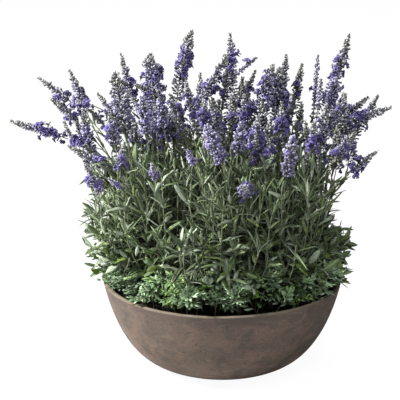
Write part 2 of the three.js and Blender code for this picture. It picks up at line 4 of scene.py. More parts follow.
import bpy
import numpy as np
from bpy.props import FloatProperty, FloatVectorProperty, IntProperty, PointerProperty
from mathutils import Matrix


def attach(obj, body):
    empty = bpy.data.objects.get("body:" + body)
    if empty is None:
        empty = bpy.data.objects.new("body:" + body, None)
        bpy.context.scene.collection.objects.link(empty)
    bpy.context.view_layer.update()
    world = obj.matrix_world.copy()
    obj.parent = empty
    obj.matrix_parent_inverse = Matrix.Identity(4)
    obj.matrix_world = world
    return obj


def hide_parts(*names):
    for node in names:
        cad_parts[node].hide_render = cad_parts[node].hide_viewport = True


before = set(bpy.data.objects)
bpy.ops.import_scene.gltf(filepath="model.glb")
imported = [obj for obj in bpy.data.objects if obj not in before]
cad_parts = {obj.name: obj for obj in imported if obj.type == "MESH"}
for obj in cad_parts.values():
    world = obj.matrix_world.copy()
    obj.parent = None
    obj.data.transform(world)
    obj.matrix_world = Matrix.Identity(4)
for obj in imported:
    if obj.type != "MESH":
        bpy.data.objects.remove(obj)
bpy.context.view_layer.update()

bl_info = {
    "name": "Potted lavender",
    "version": (1, 0, 0),
    "blender": (4, 5, 0),
    "location": "3D View > Sidebar > Lavender",
    "description": "Builds a stoneware bowl planted with lavender and an edging herb",
    "category": "Add Mesh",
}

# Sizes are in metres, and the tables below in millimetres, from the centre of the bowl's foot.
MM = 0.001
RIM_RADIUS, BOWL_HEIGHT = 0.200, 0.150
CURVE_DEPTH, CURVE_DOWN, CURVE_ACROSS = 0.152, 1.15, 4.63
WALL, LIP_ROUND, FLOOR = 0.009, 0.003, 0.012
SOIL_EDGE_Z, SOIL_CROWN = 0.134, 0.006
EDGING_SECTORS = 6
LEAF_THICKNESS, PETAL_THICKNESS = 0.0006, 0.0005
# Steps of this share of a turn, or of this angle, never line up, so they spread leaves and shoots evenly.
GOLDEN_SHARE, GOLDEN_ANGLE = 0.618034, 2.39996
# A leaf's half width at shares of its length: the narrow leaves, the broad ones low in the bush, and the
# edging herb's leaflets at the sides and at the end of a leaf.
NARROW_LEAF = (0.07, 0.42, 0.85), (0.36, 1.0, 0.6)
BROAD_LEAF = (0.10, 0.32, 0.62, 0.90), (0.22, 0.84, 1.0, 0.45)
SIDE_LEAFLET = (0.16, 0.45, 0.76), (0.5, 1.0, 0.52)
END_LEAFLET = (0.12, 0.48, 0.74), (0.18, 0.65, 0.85)

# Each plant: its name, the crown's place in the soil, how far its bush leans outwards at the top, the
# bush's height, and its flower spikes. A spike has its tip, the tilt from the vertical and the length of
# the head, then, where it needs them, aim (the way it leans, as an angle round the vertical), kind, full
# (its thickness against the usual), loose (the length of the thinner whorls below it on the stem), bloom
# (open flowers against the usual) and opens (how far down from its tip they are). Kinds: "open" has
# clusters of open flowers under a grey-green tip, "grey" is mostly buds, "lilac" is a soft grey-lilac
# mass, "pale" is a close pale violet cylinder, "blue" is a full deep violet head, "slim" has whorls set
# apart, and "spent" is dark and dry.
PLANTS = [
    dict(name="left", crown=(-97, 22), lean=62, height=318, spikes=[
        dict(tip=(-353, 10, 415), tilt=72, length=85, loose=10, opens=56, bloom=1.2),
        dict(tip=(-310, 60, 478), tilt=55, length=62, loose=0, opens=50, bloom=0.7),
        dict(tip=(-253, 20, 499), tilt=21, length=68, loose=14, opens=42),
        dict(tip=(-278, -40, 465), tilt=45, length=55, loose=8, opens=44, bloom=0.4),
        dict(tip=(-175, -10, 500), tilt=9, length=78, kind="lilac", full=1.3, loose=24),
        dict(tip=(-227, -30, 446), tilt=8, length=62, aim=180, kind="lilac", full=0.9),
        dict(tip=(-241, -10, 430), tilt=10, length=40, aim=180, kind="grey", full=0.8, loose=6),
        dict(tip=(-240, -20, 454), tilt=80, length=12, aim=180, full=0.6, loose=0, opens=9, bloom=3.5),
        dict(tip=(-259, -30, 424), tilt=24, length=38, aim=180, kind="grey", full=0.75, loose=6),
    ]),
    dict(name="front_left", crown=(-78, -62), lean=55, height=300, spikes=[
        dict(tip=(-180, -70, 445), tilt=8, length=46, kind="lilac", loose=8),
        dict(tip=(-250, -60, 390), tilt=60, length=65, aim=180, opens=46, loose=12, bloom=0.8),
        dict(tip=(-220, -110, 380), tilt=25, length=55, opens=38, loose=12, bloom=0.7),
        dict(tip=(-180, -130, 355), tilt=52, length=34, kind="slim", loose=0),
        dict(tip=(-155, -95, 405), tilt=14, length=42, aim=0, kind="lilac", full=0.85, loose=4),
        dict(tip=(-130, -60, 470), tilt=8, length=62, kind="pale", loose=4),
        dict(tip=(-110, -150, 385), tilt=25, length=30, kind="pale", full=0.7, loose=6),
        dict(tip=(-189, -10, 430), tilt=15, length=47, aim=180, kind="grey"),
        dict(tip=(-102, 0, 440), tilt=4, length=55, aim=180, kind="lilac", loose=4),
        dict(tip=(-217, -20, 441), tilt=42, length=30, aim=180, kind="spent", full=0.85, loose=4),
    ]),
    dict(name="back_left", crown=(-43, 90), lean=50, height=325, spikes=[
        dict(tip=(-170, 70, 515), tilt=12, length=56, opens=50),
        dict(tip=(-122, 40, 521), tilt=7, length=96, aim=180, kind="blue", full=1.45, loose=40, opens=34,
             bloom=2.4),
        dict(tip=(-53, 60, 556), tilt=13, length=82, aim=0, full=1.3, loose=40, opens=40, bloom=1.2),
        dict(tip=(-220, 145, 435), tilt=42, length=60),
        dict(tip=(-125, 190, 425), tilt=40, length=60),
        dict(tip=(-40, 175, 465), tilt=25, length=60),
        dict(tip=(-125, 60, 440), tilt=6, length=83, aim=180, kind="grey"),
        dict(tip=(-149, 30, 416), tilt=9, length=50, aim=180, kind="lilac", loose=4),
        dict(tip=(-146, 20, 475), tilt=63, length=29, aim=180, kind="spent", loose=8),
    ]),
    dict(name="centre", crown=(0, 5), lean=5, height=345, spikes=[
        dict(tip=(-105, -20, 460), tilt=10, length=50, kind="pale", loose=0),
        dict(tip=(-60, -30, 490), tilt=14, length=45),
        dict(tip=(11, 52, 554), tilt=7, length=80, aim=120, full=1.15, opens=42, bloom=0.8),
        dict(tip=(10, 18, 530), tilt=29, length=70, aim=0, opens=54),
        dict(tip=(81, 20, 508), tilt=14, length=66, kind="blue", full=1.35, loose=30, opens=24),
        dict(tip=(35, -30, 470), tilt=5, length=45),
        dict(tip=(-22, -38, 460), tilt=20, length=45, aim=200),
        dict(tip=(-85, -60, 475), tilt=20, length=36),
        dict(tip=(-71, 10, 446), tilt=5, length=59, aim=180, kind="grey"),
        dict(tip=(-17, 20, 452), tilt=11, length=62, aim=180, kind="grey"),
        dict(tip=(64, 0, 449), tilt=8, length=68, aim=180, kind="grey"),
        dict(tip=(25, -20, 444), tilt=11, length=51, aim=180, kind="grey"),
        dict(tip=(7, 30, 501), tilt=7, length=68, aim=0, kind="spent", loose=50),
        dict(tip=(31, 5, 479), tilt=9, length=57, aim=180, kind="spent", bloom=3),
        dict(tip=(33, 45, 484), tilt=6, length=48, aim=0, kind="grey", full=0.85),
        dict(tip=(17, 0, 467), tilt=3, length=60, aim=0, kind="grey"),
        dict(tip=(-83, 0, 453), tilt=3, length=52, aim=180, kind="lilac", loose=4),
    ]),
    dict(name="back_right", crown=(43, 90), lean=50, height=325, spikes=[
        dict(tip=(57, 70, 512), tilt=50, length=32, aim=0, kind="slim"),
        dict(tip=(55, 95, 485), tilt=22, length=46, aim=0, kind="grey", full=0.9, loose=50),
        dict(tip=(105, 60, 520), tilt=5, length=55, opens=50, bloom=0.5),
        dict(tip=(131, 50, 506), tilt=9, length=58, kind="grey"),
        dict(tip=(40, 180, 450), tilt=30, length=60),
        dict(tip=(130, 170, 435), tilt=40, length=60),
        dict(tip=(101, 60, 445), tilt=4, length=62, aim=180),
        dict(tip=(132, 40, 440), tilt=9, length=59, aim=0, kind="grey"),
        dict(tip=(94, 40, 499), tilt=1, length=61, aim=0, kind="lilac", full=1.2, bloom=2),
    ]),
    dict(name="right", crown=(97, 22), lean=60, height=318, spikes=[
        dict(tip=(156, 40, 518), tilt=3, length=75, kind="slim"),
        dict(tip=(160, 0, 490), tilt=5, length=36, kind="slim"),
        dict(tip=(209, 70, 549), tilt=18, length=82, full=1.2, opens=50, bloom=0.9),
        dict(tip=(184, 12, 490), tilt=9, length=50, kind="pale"),
        dict(tip=(198, -22, 470), tilt=5, length=30),
        dict(tip=(260, 60, 450), tilt=30, length=45, opens=42),
        dict(tip=(240, 20, 455), tilt=50, length=40, opens=40),
        dict(tip=(275, -12, 445), tilt=67, length=66, loose=10, opens=52),
        dict(tip=(205, 140, 425), tilt=40, length=55),
        dict(tip=(200, 40, 457), tilt=8, length=50, aim=0, kind="grey"),
        dict(tip=(199, -10, 429), tilt=6, length=71, aim=180, kind="lilac", full=1.5, loose=6),
        dict(tip=(186, -40, 416), tilt=1, length=62, aim=0, kind="grey", full=1.2, loose=6),
        dict(tip=(167, -20, 451), tilt=4, length=64, aim=0, bloom=1.4),
    ]),
    dict(name="front_right", crown=(78, -62), lean=55, height=300, spikes=[
        dict(tip=(212, -62, 415), tilt=35, length=45, kind="lilac", loose=8),
        dict(tip=(247, -70, 385), tilt=50, length=45, loose=0, opens=34, bloom=1.3),
        dict(tip=(110, -130, 425), tilt=9, length=55, aim=0, kind="pale"),
        dict(tip=(145, -90, 440), tilt=5, length=36),
        dict(tip=(95, -40, 460), tilt=3, length=50),
        dict(tip=(76, -60, 437), tilt=3, length=53, aim=0, kind="grey"),
        dict(tip=(135, 0, 420), tilt=7, length=51, aim=180, kind="grey"),
        dict(tip=(73, -110, 413), tilt=8, length=39, aim=0, bloom=1.6, loose=10),
    ]),
    dict(name="front", crown=(0, -100), lean=42, height=300, spikes=[
        dict(tip=(-30, -72, 470), tilt=5, length=38),
        dict(tip=(-25, -130, 440), tilt=21, length=60, aim=180, kind="pale", full=1.1, loose=6),
        dict(tip=(30, -112, 440), tilt=7, length=46, kind="pale", loose=6),
        dict(tip=(56, -80, 445), tilt=7, length=56, kind="lilac", loose=4),
        dict(tip=(35, -177, 355), tilt=60, length=36, aim=270, kind="blue", full=1.15, loose=0, bloom=1.4),
        dict(tip=(-55, -142, 405), tilt=26, length=28, kind="pale", full=0.7, loose=6),
        dict(tip=(52, -95, 422), tilt=3, length=42, aim=180, bloom=1.6, loose=10),
    ]),
]


class BowlSettings(bpy.types.PropertyGroup):
    clay: FloatVectorProperty(
        name="Clay", description="The bowl's main colour", subtype="COLOR", size=3, min=0, max=1,
        default=(0.114, 0.082, 0.060))
    stain: FloatVectorProperty(
        name="Stain", description="The darker patches", subtype="COLOR", size=3, min=0, max=1,
        default=(0.050, 0.038, 0.030))
    unevenness: FloatProperty(
        name="Unevenness", description="How far the hand-made wall strays from round", default=0.0009,
        min=0, max=0.003, unit="LENGTH")


class SoilSettings(bpy.types.PropertyGroup):
    crumb: FloatProperty(
        name="Crumb", description="Height of the soil's lumps", default=0.0022, min=0, max=0.006,
        unit="LENGTH")


class FoliageSettings(bpy.types.PropertyGroup):
    shoots: IntProperty(
        name="Shoots", description="Tall leafy shoots in the whole pot", default=330, min=8, max=600)
    pairs: IntProperty(
        name="Leaf pairs", description="Pairs of leaves up each tall shoot", default=13, min=3, max=40)
    low_shoots: IntProperty(
        name="Low shoots", description="Short shoots with broad leaves near the rim", default=280, min=8,
        max=600)
    leaf_length: FloatProperty(
        name="Leaf length", description="A grown leaf from stalk to tip", default=0.034, min=0.01,
        max=0.08, unit="LENGTH")
    leaf_width: FloatProperty(
        name="Leaf width", description="A grown leaf across its middle", default=0.0056, min=0.002,
        max=0.02, unit="LENGTH")
    leaf_green: FloatVectorProperty(
        name="Leaf green", description="A grown leaf's grey-green", subtype="COLOR", size=3, min=0, max=1,
        default=(0.108, 0.164, 0.063))
    seed: IntProperty(name="Seed", description="Draws another arrangement of the shoots", default=5)


class SpikeSettings(bpy.types.PropertyGroup):
    bud_size: FloatProperty(
        name="Bud size", description="Thickness of one calyx", default=0.0034, min=0.001, max=0.01,
        unit="LENGTH")
    flower_size: FloatProperty(
        name="Flower size", description="Length of one lobe of an open flower", default=0.0074,
        min=0.001, max=0.02, unit="LENGTH")
    violet: FloatVectorProperty(
        name="Violet", description="The open flowers", subtype="COLOR", size=3, min=0, max=1,
        default=(0.076, 0.053, 0.250))
    seed: IntProperty(name="Seed", description="Draws another set of open flowers", default=11)


class EdgingSettings(bpy.types.PropertyGroup):
    sprigs: IntProperty(
        name="Sprigs", description="Sprigs of the edging herb in each sector", default=25, min=1, max=80)
    leaf_length: FloatProperty(
        name="Leaf length", description="A lobed leaf from stalk to tip", default=0.0315, min=0.005,
        max=0.04, unit="LENGTH")
    leaf_green: FloatVectorProperty(
        name="Leaf green", description="A lobed leaf's blue-green", subtype="COLOR", size=3, min=0, max=1,
        default=(0.150, 0.265, 0.105))
    seed: IntProperty(name="Seed", description="Draws another arrangement of the sprigs", default=23)


def unit(vectors):
    """Each vector divided by its own length."""
    return vectors / np.maximum(np.linalg.norm(vectors, axis=-1, keepdims=True), 1e-12)


def square_to(axis, hint):
    """The part of hint at right angles to axis, at length one."""
    return unit(hint - np.sum(hint * axis, axis=-1, keepdims=True) * axis)


def bezier(ends, t):
    """Point and direction on a curve pulled by one handle: the mix (1-t)^2, 2t(1-t), t^2 of three points."""
    a, b, c = (p[..., None, :] for p in ends)
    t = t[..., None]
    point = (1 - t) ** 2 * a + 2 * t * (1 - t) * b + t ** 2 * c
    return point, unit(2 * (1 - t) * (b - a) + 2 * t * (c - b))


class Surface:
    """Closed skins gathered for one mesh, each with four marks at every point.

    The marks are: how far along its leaf or petal a point is, how far across (a half is the midrib), a
    draw from 0 to 1 that the whole leaf shares, and its tone.
    """

    def __init__(self):
        self.points, self.marks, self.quads, self.tris = [], [], [], []
        self.quad_slots, self.tri_slots = [], []
        self.count = 0

    def loft(self, rings, start, end, marks, slot=0):
        """Many closed tubes at once.

        rings is [tube, ring, point round, xyz], each ring going round by the right-hand rule about the
        way to the next. start and end close each tube at a pole. marks is [tube, ring, point round, 4].
        """
        tubes, steps, around, _ = rings.shape
        per_tube = steps * around + 2
        points = np.concatenate([rings.reshape(tubes, -1, 3), start[:, None], end[:, None]], axis=1)
        pole_marks = marks[:, [0, -1]].mean(axis=2)
        pole_marks[:, 0, 0], pole_marks[:, 1, 0] = 0.0, 1.0
        marks = np.concatenate([marks.reshape(tubes, -1, 4), pole_marks], axis=1)
        ring, place = np.meshgrid(np.arange(steps - 1) * around, np.arange(around), indexing="ij")
        a, b = ring + place, ring + (place + 1) % around
        quads = np.stack([a, b, b + around, a + around], axis=-1).reshape(-1, 4)
        i = np.arange(around)
        j = (i + 1) % around
        last = (steps - 1) * around
        foot = np.stack([np.full(around, per_tube - 2), j, i], axis=-1)
        tip = np.stack([np.full(around, per_tube - 1), last + i, last + j], axis=-1)
        offset = self.count + np.arange(tubes)[:, None, None] * per_tube
        self.quads.append((quads + offset).reshape(-1, 4))
        self.tris.append((np.concatenate([foot, tip]) + offset).reshape(-1, 3))
        self.quad_slots.append(np.full(len(self.quads[-1]), slot))
        self.tri_slots.append(np.full(len(self.tris[-1]), slot))
        self.points.append(points.reshape(-1, 3))
        self.marks.append(marks.reshape(-1, 4))
        self.count += tubes * per_tube

    def blades(self, root, way, face, length, width, outline, bend, fold, thickness, draw, tone, twist=None,
               slot=0):
        """Many leaves or petals at once, each a thin closed blade with a keel.

        A blade's middle line leaves its root along way and curves away from face by bend times the square
        of the distance. Its half width follows the outline's shape at the outline's stations, its edges
        rise over the midrib by fold times the half width, its underside lies thickness below, and it turns
        about its middle line by twist times the distance.
        """
        if not len(root):
            return
        stations, shape = np.array(outline[0]), np.array(outline[1])
        turn = (0 if twist is None else twist[:, None, None]) * stations[None, :, None]
        t, reach = stations[None, :, None], length[:, None, None]
        middle = root[:, None] + reach * (t * way[:, None] - bend[:, None, None] * t ** 2 * face[:, None])
        tangent = unit(way[:, None] - 2 * bend[:, None, None] * t * face[:, None])
        flat = np.broadcast_to(np.cross(face, way)[:, None], tangent.shape)
        side = np.cos(turn) * flat + np.sin(turn) * np.cross(tangent, flat)
        up = np.cross(tangent, side)
        half = (0.5 * width[:, None] * shape)[..., None]
        lift = fold * half * up
        under = middle - (thickness * np.minimum(1, 0.3 + half / half.max())) * up
        rings = np.stack([middle + half * side + lift, middle, middle - half * side + lift, under], axis=2)
        end = root + length[:, None] * (way - bend[:, None] * face)
        marks = np.empty(rings.shape[:3] + (4,))
        marks[..., 0] = stations[None, :, None]
        marks[..., 1] = np.array([1.0, 0.5, 0.0, 0.5])
        marks[..., 2] = draw[:, None, None]
        marks[..., 3] = tone[:, None, None]
        self.loft(rings, root, end, marks, slot)

    def stems(self, points, radii, draw, tone, sides=5, slot=0):
        """Many round stems at once: circles of the given radii square to the line through the points."""
        if not len(points):
            return
        tangent = unit(np.gradient(points, axis=1))
        first = square_to(tangent, np.array([0.31, 0.93, 0.2]))
        second = np.cross(tangent, first)
        angle = np.arange(sides) / sides * 2 * np.pi
        round_off = np.cos(angle)[:, None] * first[:, :, None] + np.sin(angle)[:, None] * second[:, :, None]
        rings = points[:, :, None] + radii[..., None, None] * round_off
        marks = np.zeros(rings.shape[:3] + (4,))
        marks[..., 0] = np.linspace(0, 1, points.shape[1])[None, :, None]
        marks[..., 1] = np.arange(sides) / sides
        marks[..., 2] = draw[:, None, None]
        marks[..., 3] = tone[:, None, None]
        caps = radii[:, [0, -1], None] * tangent[:, [0, -1]] * 0.6
        self.loft(rings, points[:, 0] - caps[:, 0], points[:, -1] + caps[:, 1], marks, slot)

    def object(self, name, materials):
        """Puts the gathered skins into one mesh object at the origin."""
        points, marks = np.concatenate(self.points), np.concatenate(self.marks)
        quads, tris = np.concatenate(self.quads), np.concatenate(self.tris)
        slots = np.concatenate(self.quad_slots + self.tri_slots)
        mesh = bpy.data.meshes.new(name)
        mesh.vertices.add(len(points))
        mesh.vertices.foreach_set("co", points.ravel().astype(np.float32))
        mesh.loops.add(quads.size + tris.size)
        corners = np.concatenate([quads.ravel(), tris.ravel()])
        mesh.loops.foreach_set("vertex_index", corners.astype(np.int32))
        mesh.polygons.add(len(quads) + len(tris))
        starts = np.concatenate([np.arange(len(quads)) * 4, quads.size + np.arange(len(tris)) * 3])
        mesh.polygons.foreach_set("loop_start", starts.astype(np.int32))
        mesh.polygons.foreach_set("material_index", slots.astype(np.int32))
        mesh.polygons.foreach_set("use_smooth", np.full(len(starts), True))
        growth = mesh.attributes.new("growth", "FLOAT_COLOR", "POINT")
        growth.data.foreach_set("color", marks.ravel().astype(np.float32))
        mesh.update(calc_edges=True)
        mesh.validate()
        for material in materials:
            mesh.materials.append(material)
        piece = bpy.data.objects.new(name, mesh)
        bpy.context.scene.collection.objects.link(piece)
        return piece


def place(piece, slot, *nodes):
    """Sets a finished piece on the pot in place of its CAD nodes."""
    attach(piece, "root")
    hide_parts(*nodes)


class Tree:
    """A short hand for the nodes of a material or of a node group."""

    def __init__(self, tree):
        self.tree = tree
        self.nodes, self.links = tree.nodes, tree.links

    def add(self, kind, settings=None, **inputs):
        """A new node with its settings and its inputs, whose names have an underscore for a space."""
        node = self.nodes.new(kind)
        for key, value in (settings or {}).items():
            setattr(node, key, value)
        for key, value in inputs.items():
            self.feed(node, key.replace("_", " "), value)
        return node

    def feed(self, node, socket, value):
        """Gives a node's socket, by name or number, a plain value or another node's output."""
        target = node.inputs[int(socket)] if socket.isdigit() else node.inputs[socket]
        if isinstance(value, bpy.types.NodeSocket):
            self.links.new(value, target)
        else:
            target.default_value = value

    def math(self, operation, a, b=0.0, c=0.0):
        """The result of one sum with up to three numbers."""
        node = self.add("ShaderNodeMath", {"operation": operation})
        for index, value in enumerate((a, b, c)):
            self.feed(node, str(index), value)
        return node.outputs[0]

    def range(self, value, low, high, to_low=0.0, to_high=1.0):
        """A smooth climb from to_low to to_high while the value goes from low to high."""
        node = self.add("ShaderNodeMapRange", {"interpolation_type": "SMOOTHSTEP"})
        for socket, number in zip(("Value", "From Min", "From Max", "To Min", "To Max"),
                                  (value, low, high, to_low, to_high)):
            self.feed(node, socket, number)
        return node.outputs["Result"]

    def mix(self, factor, a, b):
        """Colour b laid over colour a by a factor."""
        node = self.add("ShaderNodeMix", {"data_type": "RGBA"})
        self.feed(node, "0", factor)
        self.feed(node, "6", a)
        self.feed(node, "7", b)
        return node.outputs[2]

    def noise(self, vector, scale, detail=3.0, roughness=0.55, distortion=0.0):
        """Cloudy noise between 0 and 1."""
        node = self.add("ShaderNodeTexNoise", None, Vector=vector, Scale=scale, Detail=detail,
                        Roughness=roughness, Distortion=distortion)
        return node.outputs["Fac"]


def colour(rgb):
    """A colour of three numbers with a full alpha."""
    return (*rgb, 1.0)


def group_of(name, inputs, outputs, fill):
    """Makes a shader node group with named sockets once, and fills it by a function of its tree."""
    if name in bpy.data.node_groups:
        return bpy.data.node_groups[name]
    group = bpy.data.node_groups.new(name, "ShaderNodeTree")
    for socket, kind, default in inputs:
        made = group.interface.new_socket(name=socket, in_out="INPUT", socket_type=kind)
        made.default_value = default
    for socket, kind in outputs:
        group.interface.new_socket(name=socket, in_out="OUTPUT", socket_type=kind)
    tree = Tree(group)
    into, out = tree.add("NodeGroupInput"), tree.add("NodeGroupOutput")
    for socket, value in fill(tree, into.outputs).items():
        tree.feed(out, socket, value)
    return group


def weathering_group():
    """Patches, fine specks and a surface height, all from noise on the object's own coordinates."""
    def fill(tree, into):
        at = tree.add("ShaderNodeTexCoord").outputs["Object"]
        broad = tree.noise(at, into["Patch Scale"], 5.0, 0.62, 0.6)
        fine = tree.noise(at, into["Speck Scale"], 2.0, 0.5)
        grain = tree.noise(at, tree.math("MULTIPLY", into["Speck Scale"], 3.1), 3.0, 0.7)
        half = tree.math("MULTIPLY", into["Patch Softness"], 0.5)
        low, high = tree.math("SUBTRACT", 0.5, half), tree.math("ADD", 0.5, half)
        height = tree.math("MULTIPLY_ADD", grain, 0.35, tree.math("MULTIPLY", broad, 0.65))
        pits = tree.math("MULTIPLY", tree.range(fine, 0.64, 0.74), 0.5)
        return {
            "Patches": tree.range(broad, low, high),
            "Specks": tree.range(fine, 0.62, 0.7),
            "Grain": grain,
            "Height": tree.math("SUBTRACT", height, pits),
        }
    return group_of(
        "Weathering",
        [("Patch Scale", "NodeSocketFloat", 14.0), ("Speck Scale", "NodeSocketFloat", 220.0),
         ("Patch Softness", "NodeSocketFloat", 0.3)],
        [("Patches", "NodeSocketFloat"), ("Specks", "NodeSocketFloat"), ("Grain", "NodeSocketFloat"),
         ("Height", "NodeSocketFloat")],
        fill)


def growth_group():
    """A leaf's or petal's own marks, with its midrib, its edges and the bloom of dust on it as masks."""
    def fill(tree, into):
        marks = tree.add("ShaderNodeAttribute", {"attribute_name": "growth"})
        parts = tree.add("ShaderNodeSeparateColor", None, Color=marks.outputs["Color"]).outputs
        from_rib = tree.math("ABSOLUTE", tree.math("SUBTRACT", parts["Green"], 0.5))
        at = tree.add("ShaderNodeTexCoord").outputs["Object"]
        dust = tree.noise(at, into["Dust Scale"], 3.0, 0.65)
        ribs = tree.math("SINE", tree.math("MULTIPLY_ADD", parts["Red"], into["Side Veins"],
                                           tree.math("MULTIPLY", from_rib, -5.0)))
        return {
            "Along": parts["Red"],
            "Draw": parts["Blue"],
            "Tone": marks.outputs["Alpha"],
            "Midrib": tree.range(from_rib, 0.0, 0.13, 1.0, 0.0),
            "Edge": tree.range(from_rib, 0.36, 0.5),
            "Veins": tree.range(ribs, 0.2, 1.0),
            "Dust": tree.range(dust, 0.42, 0.66),
        }
    return group_of(
        "Growth marks",
        [("Dust Scale", "NodeSocketFloat", 240.0), ("Side Veins", "NodeSocketFloat", 42.0)],
        [(name, "NodeSocketFloat") for name in ("Along", "Draw", "Tone", "Midrib", "Edge", "Veins", "Dust")],
        fill)


def weathering(tree, patches, specks, softness):
    """The weathering masks at a scale of patches and one of specks."""
    return tree.add("ShaderNodeGroup", {"node_tree": weathering_group()}, Patch_Scale=patches,
                    Speck_Scale=specks, Patch_Softness=softness).outputs


def growth_marks(tree, dust, veins):
    """The growth marks and masks, with dust at a scale and a number for how close the side veins are."""
    return tree.add("ShaderNodeGroup", {"node_tree": growth_group()}, Dust_Scale=dust,
                    Side_Veins=veins).outputs


def new_material(name, roughness=0.6, **sockets):
    """A material with its Principled BSDF, plain values set on the shader's own sockets."""
    material = bpy.data.materials.new(name)
    material.use_nodes = True
    tree = Tree(material.node_tree)
    shader = material.node_tree.nodes["Principled BSDF"]
    shader.inputs["Roughness"].default_value = roughness
    for socket, value in sockets.items():
        shader.inputs[socket.replace("_", " ")].default_value = value
    return material, tree, shader


def bump(tree, shader, height, strength, distance):
    """Raises and sinks a shader's surface by a height from 0 to 1 times a distance in metres."""
    node = tree.add("ShaderNodeBump", None, Strength=strength, Distance=distance, Height=height)
    tree.feed(shader, "Normal", node.outputs["Normal"])


def stoneware_material(settings):
    """Matt brown-grey stoneware: cloudy, pitted, with a few smears along the wall and a tan lip, partly
    rubbed, partly a painted highlight.
    """
    material, tree, shader = new_material("Mottled stoneware", 0.8)
    wear, cloud = weathering(tree, 9.0, 170.0, 0.4), weathering(tree, 30.0, 330.0, 0.26)
    at = tree.add("ShaderNodeTexCoord").outputs["Object"]
    height = tree.add("ShaderNodeSeparateXYZ", None, Vector=at).outputs["Z"]
    flat = tree.add("ShaderNodeMapping", None, Vector=at, Scale=(14.0, 14.0, 40.0)).outputs["Vector"]
    smear = tree.range(tree.noise(flat, 1.7, 5.0, 0.7, 1.2), 0.5, 0.7)
    base = tree.mix(wear["Patches"], colour(settings.clay), colour(settings.stain))
    rosy = tree.mix(tree.math("MULTIPLY", cloud["Patches"], 0.55), base, (0.178, 0.104, 0.074, 1))
    tan = tree.mix(tree.math("MULTIPLY", smear, 0.4), rosy, (0.200, 0.150, 0.114, 1))
    ashy = tree.mix(tree.math("MULTIPLY", tree.range(cloud["Grain"], 0.46, 0.64), 0.6), tan,
                    (0.064, 0.059, 0.050, 1))
    chalky = tree.mix(tree.math("MULTIPLY", tree.range(wear["Grain"], 0.52, 0.68), 0.45), ashy,
                      (0.205, 0.170, 0.134, 1))
    specked = tree.mix(tree.math("MULTIPLY", wear["Specks"], 0.7), chalky, (0.034, 0.028, 0.023, 1))
    damp = tree.math("MULTIPLY", tree.range(height, 0.118, 0.143),
                     tree.math("MULTIPLY_ADD", smear, -0.5, 0.45))
    damped = tree.mix(damp, specked, (0.060, 0.047, 0.039, 1))
    # Painted highlight: the lip's top is paler by its height alone, partly standing for rubbed wear too.
    lip = tree.math("MULTIPLY", tree.range(height, 0.1464, 0.1492),
                    tree.math("MULTIPLY_ADD", smear, 0.45, 0.42))
    tree.feed(shader, "Base Color", tree.mix(lip, damped, (0.26, 0.212, 0.150, 1)))
    tree.feed(shader, "Roughness", tree.range(wear["Height"], 0.2, 0.8, 0.7, 0.92))
    bump(tree, shader, tree.math("MULTIPLY_ADD", cloud["Height"], 0.6, wear["Height"]), 0.55, 0.0018)
    return material


def soil_material():
    """Dark crumbly potting soil with paler fibres."""
    material, tree, shader = new_material("Potting soil", 0.95)
    wear = weathering(tree, 60.0, 380.0, 0.4)
    base = tree.mix(wear["Patches"], (0.028, 0.019, 0.012, 1), (0.009, 0.007, 0.005, 1))
    tree.feed(shader, "Base Color", tree.mix(wear["Specks"], base, (0.10, 0.07, 0.045, 1)))
    bump(tree, shader, wear["Height"], 0.9, 0.002)
    return material


def lavender_leaf_material(settings):
    """Grey-green leaves: painted near black where the tone gives them shade, and when old, felted silver on
    some, with a pale midrib.
    """
    material, tree, shader = new_material("Lavender leaf", 0.5, Sheen_Weight=0.1, Sheen_Roughness=0.5,
                                          Specular_IOR_Level=0.4, Specular_Tint=(0.75, 0.9, 0.5, 1))
    marks = growth_marks(tree, 260.0, 34.0)
    grown = colour(settings.leaf_green)
    # Painted shade: a low tone, on the leaves low and deep in the bush, darkens the leaf to near black, also
    # standing for old leaves.
    painted_shade_and_age = tree.mix(marks["Tone"], (0.014, 0.023, 0.004, 1), grown)
    # The silver felt and the dust grow with the tone, so they show most on the leaves with little painted
    # shade, partly as a painted highlight.
    silver = tree.mix(tree.math("MULTIPLY", tree.range(marks["Draw"], 0.6, 0.92), tree.math(
        "MULTIPLY_ADD", marks["Tone"], 0.85, 0.1)), painted_shade_and_age, (0.41, 0.465, 0.375, 1))
    fresh = tree.mix(tree.range(marks["Draw"], 0.14, 0.02), silver, (0.11, 0.17, 0.030, 1))
    felt = tree.mix(tree.math("MULTIPLY", marks["Dust"], tree.math(
        "MULTIPLY_ADD", marks["Tone"], 0.2, 0.04)), fresh, (0.29, 0.36, 0.25, 1))
    ribbed = tree.mix(tree.math("MULTIPLY", marks["Midrib"], 0.4), felt, (0.34, 0.42, 0.28, 1))
    tree.feed(shader, "Base Color", tree.mix(tree.math("MULTIPLY", marks["Edge"], 0.26), ribbed,
                                             (0.38, 0.45, 0.33, 1)))
    tree.feed(shader, "Roughness", tree.range(marks["Dust"], 0.0, 1.0, 0.38, 0.62))
    bump(tree, shader, tree.math("MULTIPLY_ADD", marks["Midrib"], -0.6, marks["Dust"]), 0.35, 0.0006)
    return material


